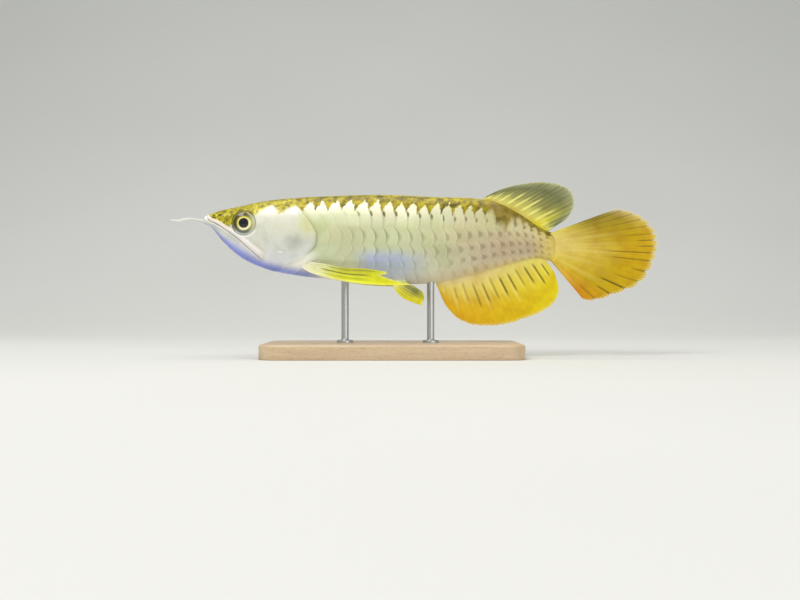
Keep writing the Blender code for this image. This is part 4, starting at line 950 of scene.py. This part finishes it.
def scale_coat(side, finish):
    """All the scales of one side as one mesh of thin closed plates.

    A scale is a grid of its own length and width. It starts under the scale before it and rises to its free
    rear edge, which bulges back in a rounded arc, and it sinks towards its upper and lower neighbours. In
    the back row the arc peaks on the fish's middle line. The first scales lie tucked in behind the gill
    cover and the nape.
    """
    count_long, count_wide = 10, 9
    draw = np.random.default_rng(7)
    shape = (COLUMNS, ROWS, count_long, count_wide)
    column = np.arange(COLUMNS)[:, None, None, None]
    row = per_row(np.arange(ROWS))
    reach = (np.linspace(0, 1, count_long) ** 0.8)[None, None, :, None]
    across = np.linspace(-1, 1, count_wide)[None, None, None, :]
    tone = draw.random((COLUMNS, ROWS, 1, 1)) * (row > 0) + 0.5 * (row == 0)
    wander = draw.normal(0, 0.035, (COLUMNS, ROWS, 1, 1))
    share = row_share(np.clip(row + 0.5 + 0.52 * across, 0, ROWS), column)
    level = column - SCALE_ROOT + reach * (1 + SCALE_ROOT) + wander * reach
    fade = ease((COLUMNS + 0.5 - column) / 4.0)
    from_tip = np.where(row == 0, (across + 1) / 2, np.abs(across))
    arc = SCALE_BULGE * (1 - from_tip**2.2) * (0.45 + 0.55 * fade) * ease((column + 1) / 1.5)
    x = column_x(np.clip(level, -1, COLUMNS), share) + arc
    crown = 0.6 + 0.4 * np.cos(math.pi * from_tip)
    ridge = (0.2 + 0.8 * ease(share / 0.3)) * ease((1 - share) / 0.1 + 0.1)
    rise = (-SCALE_SUNK + (SCALE_RISE + SCALE_SUNK) * reach) * crown * ridge + 0.05
    nape = (column == 0) * ease((0.19 - share) / 0.05)
    lift = rise * (0.3 + 0.7 * fade) * (0.5 + 0.5 * ease((x - 82) / 30)) - behind_gills(x, share)
    lift = lift - NAPE_SUNK * nape * (1 - ease((x - gill_x(share)) / 2.5))
    upper, lower = (body(x, side * share, lift - depth) for depth in (0.0, SCALE_THICKNESS))
    for grid in (upper, lower):
        grid[..., 1] *= stem_taper(x)
    front, rear = ease((x - 72) / 25), ease((x - 120) / 35)
    start, after = (column_x(np.clip(column + k, 0, COLUMNS), share) for k in (0, 1))
    behind = (x - start - arc) / (after - start)
    # Painted shadow behind the covering edge of the scale before, by row, along the body and across the scale
    across_edge_shadow = 0.4 + 0.6 * bump((across + 0.1) / 0.7)
    seam = per_row(ROW_EDGE_SHADOWS) * (0.15 + 0.85 * front) * (1 - 0.5 * rear) * across_edge_shadow
    # The same painted edge shadow on the olive of the back rows
    score = per_row(OLIVE_EDGE_SHADOWS) * (1 - 0.6 * rear) * (column > 0)
    values = {"girth": share, "length": x / BODY_LENGTH, "behind": behind, "ring": reach, "tone": tone,
              "violet": violet_band(x, share), "seam": seam, "score": score,
              **spot_marks(x, row, behind, across, front, rear), **leaf_marks(x, share, nape, draw)}
    doubled = {key: np.stack([np.broadcast_to(value, shape)] * 2, axis=2) for key, value in values.items()}
    points = np.stack([upper, lower], axis=2).reshape(-1, 3)
    first_points = np.arange(COLUMNS * ROWS)[:, None, None] * 2 * count_long * count_wide
    faces = (sheet_faces(count_long, count_wide)[None] + first_points).reshape(-1, 4)
    uv = scale_patches(reach, across, shape).reshape(-1, 2)[faces]
    word = "left" if side < 0 else "right"
    return piece("scales_" + word, points, faces, finish, "scale_skin", FLESH[-2:], uv, **doubled)


def scale_patches(reach, across, shape):
    """Bake map of a coat: each scale is a small patch at its column and row on the flattened flank.

    The upper face fills most of the patch, and the lower face a strip beside it.
    """
    column = np.arange(shape[0])[:, None, None, None]
    v = np.broadcast_to((per_row(np.arange(shape[1])) + 0.5 + 0.44 * across) / shape[1], shape)
    upper, lower = (np.broadcast_to((column + first + long * reach) / shape[0], shape)
                    for first, long in ((0.04, 0.66), (0.74, 0.2)))
    return np.stack([np.stack([u, v], -1) for u in (upper, lower)], axis=2)


def ray_height(within, out):
    """Height of the rays at a place across a ray's strip, from 0 on the web to 1 on a crest.

    Each ray is a rounded ridge along the middle of its strip, which parts in two beyond a third of its
    length and in four near the edge.
    """
    first = 0.21 * ease((out - 0.3) / 0.6)
    second = 0.1 * ease((out - 0.62) / 0.38)
    width = 0.17 - 0.1 * np.clip(out, 0, 1)
    branches = [a * first + b * second for a in (-1, 1) for b in (-1, 1)]
    return np.maximum.reduce([bump((within - branch) / width) for branch in branches])


def strokes(place, out, count, kind, draw):
    """Dark strokes along the gaps between rays: soft lines, each of its own start, end and strength."""
    every, start, end, width, first = kind
    strip = place * count
    gap = np.round(strip).astype(int)
    spread = 0.25 * start + 0.03
    starts = start + draw.uniform(-spread, spread, count + 1)[gap]
    ends = end + draw.uniform(-0.12, 0.1, count + 1)[gap]
    strength = (0.35 + 0.65 * draw.random(count + 1) ** 1.3)[gap] * (first + (1 - first) * ease(place / 0.6))
    strength = strength * (gap % every == 0) * (gap > 0) * (gap < count)
    line = np.exp(-(((strip - gap) / width) ** 2))
    return line * strength * ease((out - starts) / 0.1) * ease((ends - out) / 0.12)


def pale_rays(within, ray, out, count, kind, draw):
    """The rays' pale part, which narrows from the root to its end, and is faint on every second ray."""
    full, fading = kind
    end = full + draw.uniform(-0.16, 0.16, count)[ray]
    bright = (draw.uniform(0.7, 1.0, count) * np.where(np.arange(count) % 2, 1.0, 0.3))[ray]
    width = 0.6 - 0.32 * np.clip(out / (end + fading), 0, 1)
    return np.exp(-((within / width) ** 2)) * bright * (1 - ease((out - end) / fading)) * ease(out / 0.15)


def fin_piece(name, node, paths, form, pale, dark, web, grid, finish):
    """A fin as a thin closed sheet of rays: paths(place, out) gives its middle surface.

    The sheet is thick at the root, thins to the web, and carries the rays raised on both faces. Between the
    ray tips the web ends a little short, which makes the fringed edge, and two sines along the fin make it
    sway. pale and dark are the rays' pale part and the strokes between them, and web how see-through the
    web is at places from the first ray to the last.
    """
    count, root_half, rise, notch, sway, sunk = form
    points_per_ray, steps = grid
    draw = np.random.default_rng(count * 31 + steps)
    place = np.linspace(0, 1, count * points_per_ray + 1)[:, None]
    out = np.linspace(-sunk, 1, steps)[None, :]
    clear = np.clip(out, 0, 1)
    strip = np.minimum(place * count, count - 1e-6)
    ray = np.floor(strip).astype(int)
    within = strip - ray - 0.5
    height = ray_height(within, out)
    short = 0.7 * np.abs(2 * within) ** 4 + 0.3 * (1 - height)
    uneven = 0.006 * np.interp(place * count, np.arange(count + 1), np.abs(draw.normal(0, 1, count + 1)))
    reach = out * (1 - (notch * short + uneven) * clear**8)
    middle = paths(np.broadcast_to(place, reach.shape), reach)
    run = np.hypot(*(middle - middle[:, :1]).transpose(2, 0, 1)[[0, 2]])
    middle[..., 1] += sway * (0.7 * np.sin(place * 7.3 + 0.6) + 0.3 * np.sin(place * 17.0)) * clear**1.6
    normal = np.cross(np.gradient(middle, axis=0), np.gradient(middle, axis=1))
    normal /= np.linalg.norm(normal, axis=2)[:, :, None] + 1e-9
    half = MEMBRANE_HALF + (root_half - MEMBRANE_HALF) * (1 - ease(out / 0.3)) ** 1.6
    half = half + rise * height * (1 - 0.5 * clear) * ease(out / 0.4)
    half = half * ease(np.minimum(place, 1 - place) * count * 2 + 0.3) * (1 - 0.45 * ease((out - 0.9) / 0.1))
    points = np.stack([middle + normal * half[..., None], middle - normal * half[..., None]])
    values = {"out": clear, "ray": height, "place": place, "run": run, "web": smooth(web, place),
              "pale_ray": pale_rays(within, ray, out, count, pale, draw),
              "dash": strokes(place, out, count, dark, draw),
              "fringe": 0.75 * height * ease((out - 0.93) / 0.06)}
    doubled = {key: np.stack([np.broadcast_to(value, reach.shape)] * 2) for key, value in values.items()}
    return piece(name, points.reshape(-1, 3), sheet_faces(*reach.shape), finish, "fin_membrane", (node,),
                 **doubled)


def columns_at(table, along):
    """Each further column of a table as a smooth curve of its first, read along it."""
    first, *others = np.array(table, float).T
    return [smooth(np.stack([first, column], 1), along) for column in others]


def median_paths(table):
    """Straight rays in the middle plane, from the named roots to the named tips."""

    def paths(place, reach):
        root_x, root_z, tip_x, tip_z = columns_at(table, place)
        return np.stack([root_x + (tip_x - root_x) * reach, 0 * reach, root_z + (tip_z - root_z) * reach], -1)

    return paths


def path_at(table, along):
    """Points along a path given as (share along, x, y, z)."""
    return np.stack(columns_at(table, along), -1)


def paired_paths(first, last, lengths, side):
    """Rays between the paths of the first and last ray, each of its own length, rooted inside the body."""

    def paths(place, reach):
        along = smooth(lengths, place) * reach
        mix = place[..., None]
        points = path_at(first, along) * (1 - mix) + path_at(last, along) * mix
        points[..., 1] = (points[..., 1] - PAIRED_ROOT_SUNK * (1 - ease(along / 0.08))) * side
        return points

    return paths


def eye_piece(side, finish):
    """A flattened ball: rings round the sideways axis, shallow outside, deeper inside, closed at the poles.

    Outside, a bell round the pole makes the cornea stand out. disc grows from the pole to the ball's edge, up
    towards its upper front and aft towards its rear.
    """
    around, rings = 96, 60
    turn = np.arange(around) / around * math.tau
    lean = np.linspace(0, math.pi, rings)[:, None]
    outer = lean < math.pi / 2
    from_pole = np.sin(lean)
    depth = np.where(outer, EYE_OUTER, EYE_INNER) * np.cos(lean)
    depth = depth + CORNEA_RISE * bump(from_pole / 0.62) * outer
    x, z = EYE_CENTRE
    y = float(flank(np.array(x), np.array(z))) - EYE_SET_IN
    points = np.stack([x + EYE_RADIUS * from_pole * np.cos(turn), side * (y + depth + 0 * turn),
                       z + EYE_RADIUS * from_pole * np.sin(turn)], -1)
    disc = np.where(outer, from_pole, 1.0) + 0 * turn
    up = 0.5 + (0.42 * np.sin(turn) - 0.28 * np.cos(turn)) * from_pole
    aft = 0.5 + 0.5 * np.cos(turn - 0.1) * from_pole
    word = "left" if side < 0 else "right"
    return piece("eye_ball_" + word, points.reshape(-1, 3), grid_faces(rings, around, closed=True), finish,
                 "eye_gloss", ("eye_" + word,), disc=disc, up=up, aft=aft)


def tube_points(path, radii, sides):
    """Rings of points round a path, standing square to it."""
    along = np.gradient(path, axis=0)
    along /= np.linalg.norm(along, axis=1)[:, None]
    side = np.cross(along, np.array([0.0, 0.31, 0.95]))
    side /= np.linalg.norm(side, axis=1)[:, None]
    other = np.cross(along, side)
    turn = np.arange(sides) / sides * math.tau
    ring = side[:, None] * np.cos(turn)[None, :, None] + other[:, None] * np.sin(turn)[None, :, None]
    return path[:, None] + ring * radii[:, None, None]


def barbel_piece(side, finish):
    """A feeler of rings along its path, tapering to a round tip, with a ring of no size to close each end."""
    rings, round_end, sides = 62, 5, 16
    along = np.concatenate([[0], np.linspace(0, 1, rings - 2), [1]])
    path = path_at(BARBEL_PATH, np.linspace(0, 1, rings))
    path[:, 1] *= side
    radii = BARBEL_RADII[0] + (BARBEL_RADII[1] - BARBEL_RADII[0]) * along**0.8
    into_end = np.clip((np.arange(rings) - rings + round_end + 1) / round_end, 0, 1)
    radii = radii * np.sqrt(np.clip(1 - into_end**2, 0, 1))
    radii[0] = 0.0
    word = "left" if side < 0 else "right"
    return piece("feeler_" + word, tube_points(path, radii, sides).reshape(-1, 3),
                 grid_faces(rings, sides, closed=True), finish, "scale_skin", ("barbel_" + word,),
                 out=np.repeat(along, sides))


def rod_piece(name, finish):
    """A rod on a low flange: an upright profile turned about its axis, with an eased edge and a fillet."""
    x, top = ROD_PLACES[name]
    sides = 48
    floor = BASE_SIZE[2] - MID_HEIGHT
    flange, height = ROD_FOOT
    quarter = np.linspace(0, math.pi / 2, 6)
    profile = [(0, floor), (flange, floor)]
    profile += [(flange + ROD_EASE * (math.cos(t) - 1), floor + height + ROD_EASE * (math.sin(t) - 1))
                for t in quarter]
    profile += [(ROD_RADIUS + ROD_FILLET * (1 - math.sin(t)), floor + height + ROD_FILLET * (1 - math.cos(t)))
                for t in quarter]
    profile += [(ROD_RADIUS, top), (0, top)]
    radius, level = np.array(profile, float).T[:, :, None]
    turn = np.arange(sides) / sides * math.tau
    points = np.stack([x + radius * np.cos(turn), radius * np.sin(turn), level + 0 * turn], -1)
    return piece(name + "_steel", points.reshape(-1, 3), grid_faces(len(profile), sides, closed=True), finish,
                 "stand_steel", (name,))


def base_piece(finish):
    """A low block with round corners: rings of a rounded rectangle, drawn in over the eased upper edge.

    Each ring has its own inset and level, and the first and last shrink to the middle of the faces.
    """
    length, width, height = BASE_SIZE
    width = width - BASE_NARROWER
    around = 160
    turn = (np.arange(around) + 0.5) / around * math.tau
    rows = [(BASE_PANEL, 0.0), (0.5, 0.0), (0.15, 0.15), (0.0, 0.5)]
    rows += [(BASE_BEVEL * (1 - math.cos(t)), height - BASE_BEVEL * (1 - math.sin(t)))
             for t in np.linspace(0, math.pi / 2, 9)]
    rows += [(BASE_BEVEL + 2.0, height), (BASE_PANEL, height)]
    inset, level = np.array(rows).T[:, :, None]
    corner = np.maximum(BASE_CORNER - inset, 0.0)
    x, y = (np.sign(way) * (size / 2 - np.maximum(inset, BASE_CORNER)) + corner * way
            for way, size in ((np.cos(turn), length), (np.sin(turn), width)))
    rings = np.stack([x, y, level + 0 * turn], -1)
    middles = [np.broadcast_to((0.0, 0.0, z), (1, around, 3)) for z in (0.0, height)]
    points = np.concatenate([middles[0], rings, middles[1]]) + (CHIN_BEFORE_ORIGIN, 0.0, -MID_HEIGHT)
    return piece("base_block", points.reshape(-1, 3), grid_faces(len(points), around, closed=True), finish,
                 "stand_wood", ("stand_base",))


def floor_piece(finish):
    """A wide floor that curves up behind in a quarter circle, carried from side to side."""
    bend = np.linspace(0, math.pi / 2, 32)
    back, radius = 0.35, 1.1
    y = np.concatenate([[-3.0, 0.0], back + radius * np.sin(bend), [back + radius]])
    z = np.concatenate([[0.0, 0.0], radius - radius * np.cos(bend), [4.0]])
    points = [(x, *place) for place in zip(y, z) for x in (-4.0, 4.0)]
    mesh = bpy.data.meshes.new("floor")
    mesh.from_pydata(points, [], grid_faces(len(y), 2).tolist())
    mesh.shade_smooth()
    mesh.materials.append(finish)
    made = bpy.data.objects.new("floor", mesh)
    bpy.context.scene.collection.objects.link(made)


def aim_at(direction):
    """Turn that points an object's -Z along a direction, with its Y up."""
    flat = math.hypot(direction[0], direction[1])
    return (math.atan2(flat, -direction[2]), 0.0, math.atan2(-direction[0], direction[1]) if flat else 0.0)


def lights():
    """Square warm lamps, each aimed at the fish, and an even grey room light."""
    for name, place, size, power in LAMPS:
        lamp = bpy.data.lights.new(name, "AREA")
        lamp.energy, lamp.size, lamp.color = power, size, (1.0, 0.975, 0.92)
        made = bpy.data.objects.new(name, lamp)
        made.location = place
        made.rotation_euler = aim_at(LAMP_AIM - np.array(place))
        bpy.context.scene.collection.objects.link(made)
    world = bpy.data.worlds.new("soft_room")
    bpy.context.scene.world = world
    world.use_nodes = True
    feed(world.node_tree, world.node_tree.nodes["Background"], {"Color": "#E6E8E4", "Strength": 0.58})
    bpy.context.scene.view_settings.view_transform = "Standard"


def camera():
    """A 50 mm lens level with the fish, square to its side, whose frame is the photograph's."""
    lens = bpy.data.cameras.new("camera")
    lens.lens, lens.sensor_width = 50.0, 36.0
    made = bpy.data.objects.new("camera", lens)
    x, z = PHOTO_CENTRE
    made.location = ((x - CHIN_BEFORE_ORIGIN) * MM, -CAMERA_AWAY * MM, (MID_HEIGHT + z) * MM)
    made.rotation_euler = (math.pi / 2, 0.0, 0.0)
    bpy.context.scene.collection.objects.link(made)
    bpy.context.scene.camera = made


def dress_fish():
    """The skin, then the fins of the middle plane, then all that comes in pairs, the left side first."""
    skin_piece(wet_skin())
    coat, eye, feeler = pearl_scale(), eye_finish(), barbel_finish()
    webs = {name: fin_finish(name, *web) for name, web in WEBS.items()}
    for name, node, table, form, pale, dark, web, grid, finish in MEDIAN_FINS:
        fin_piece(name, node, median_paths(table), form, pale, dark, web, grid, webs[finish])
    for side, word in ((-1, "left"), (1, "right")):
        scale_coat(side, coat)
        eye_piece(side, eye)
        barbel_piece(side, feeler)
        for name, node, tables, form, pale, dark, web, grid, finish in PAIRED_FINS:
            fin_piece(name + word, node + word, paired_paths(*tables, side), form, pale, dark, web, grid,
                      webs[finish])


def main():
    """The fish, its stand and the studio round them."""
    dress_fish()
    steel = brushed_steel()
    for name in ROD_PLACES:
        rod_piece(name, steel)
    base_piece(oiled_maple())
    floor_piece(matte_paper())
    lights()
    camera()


main()
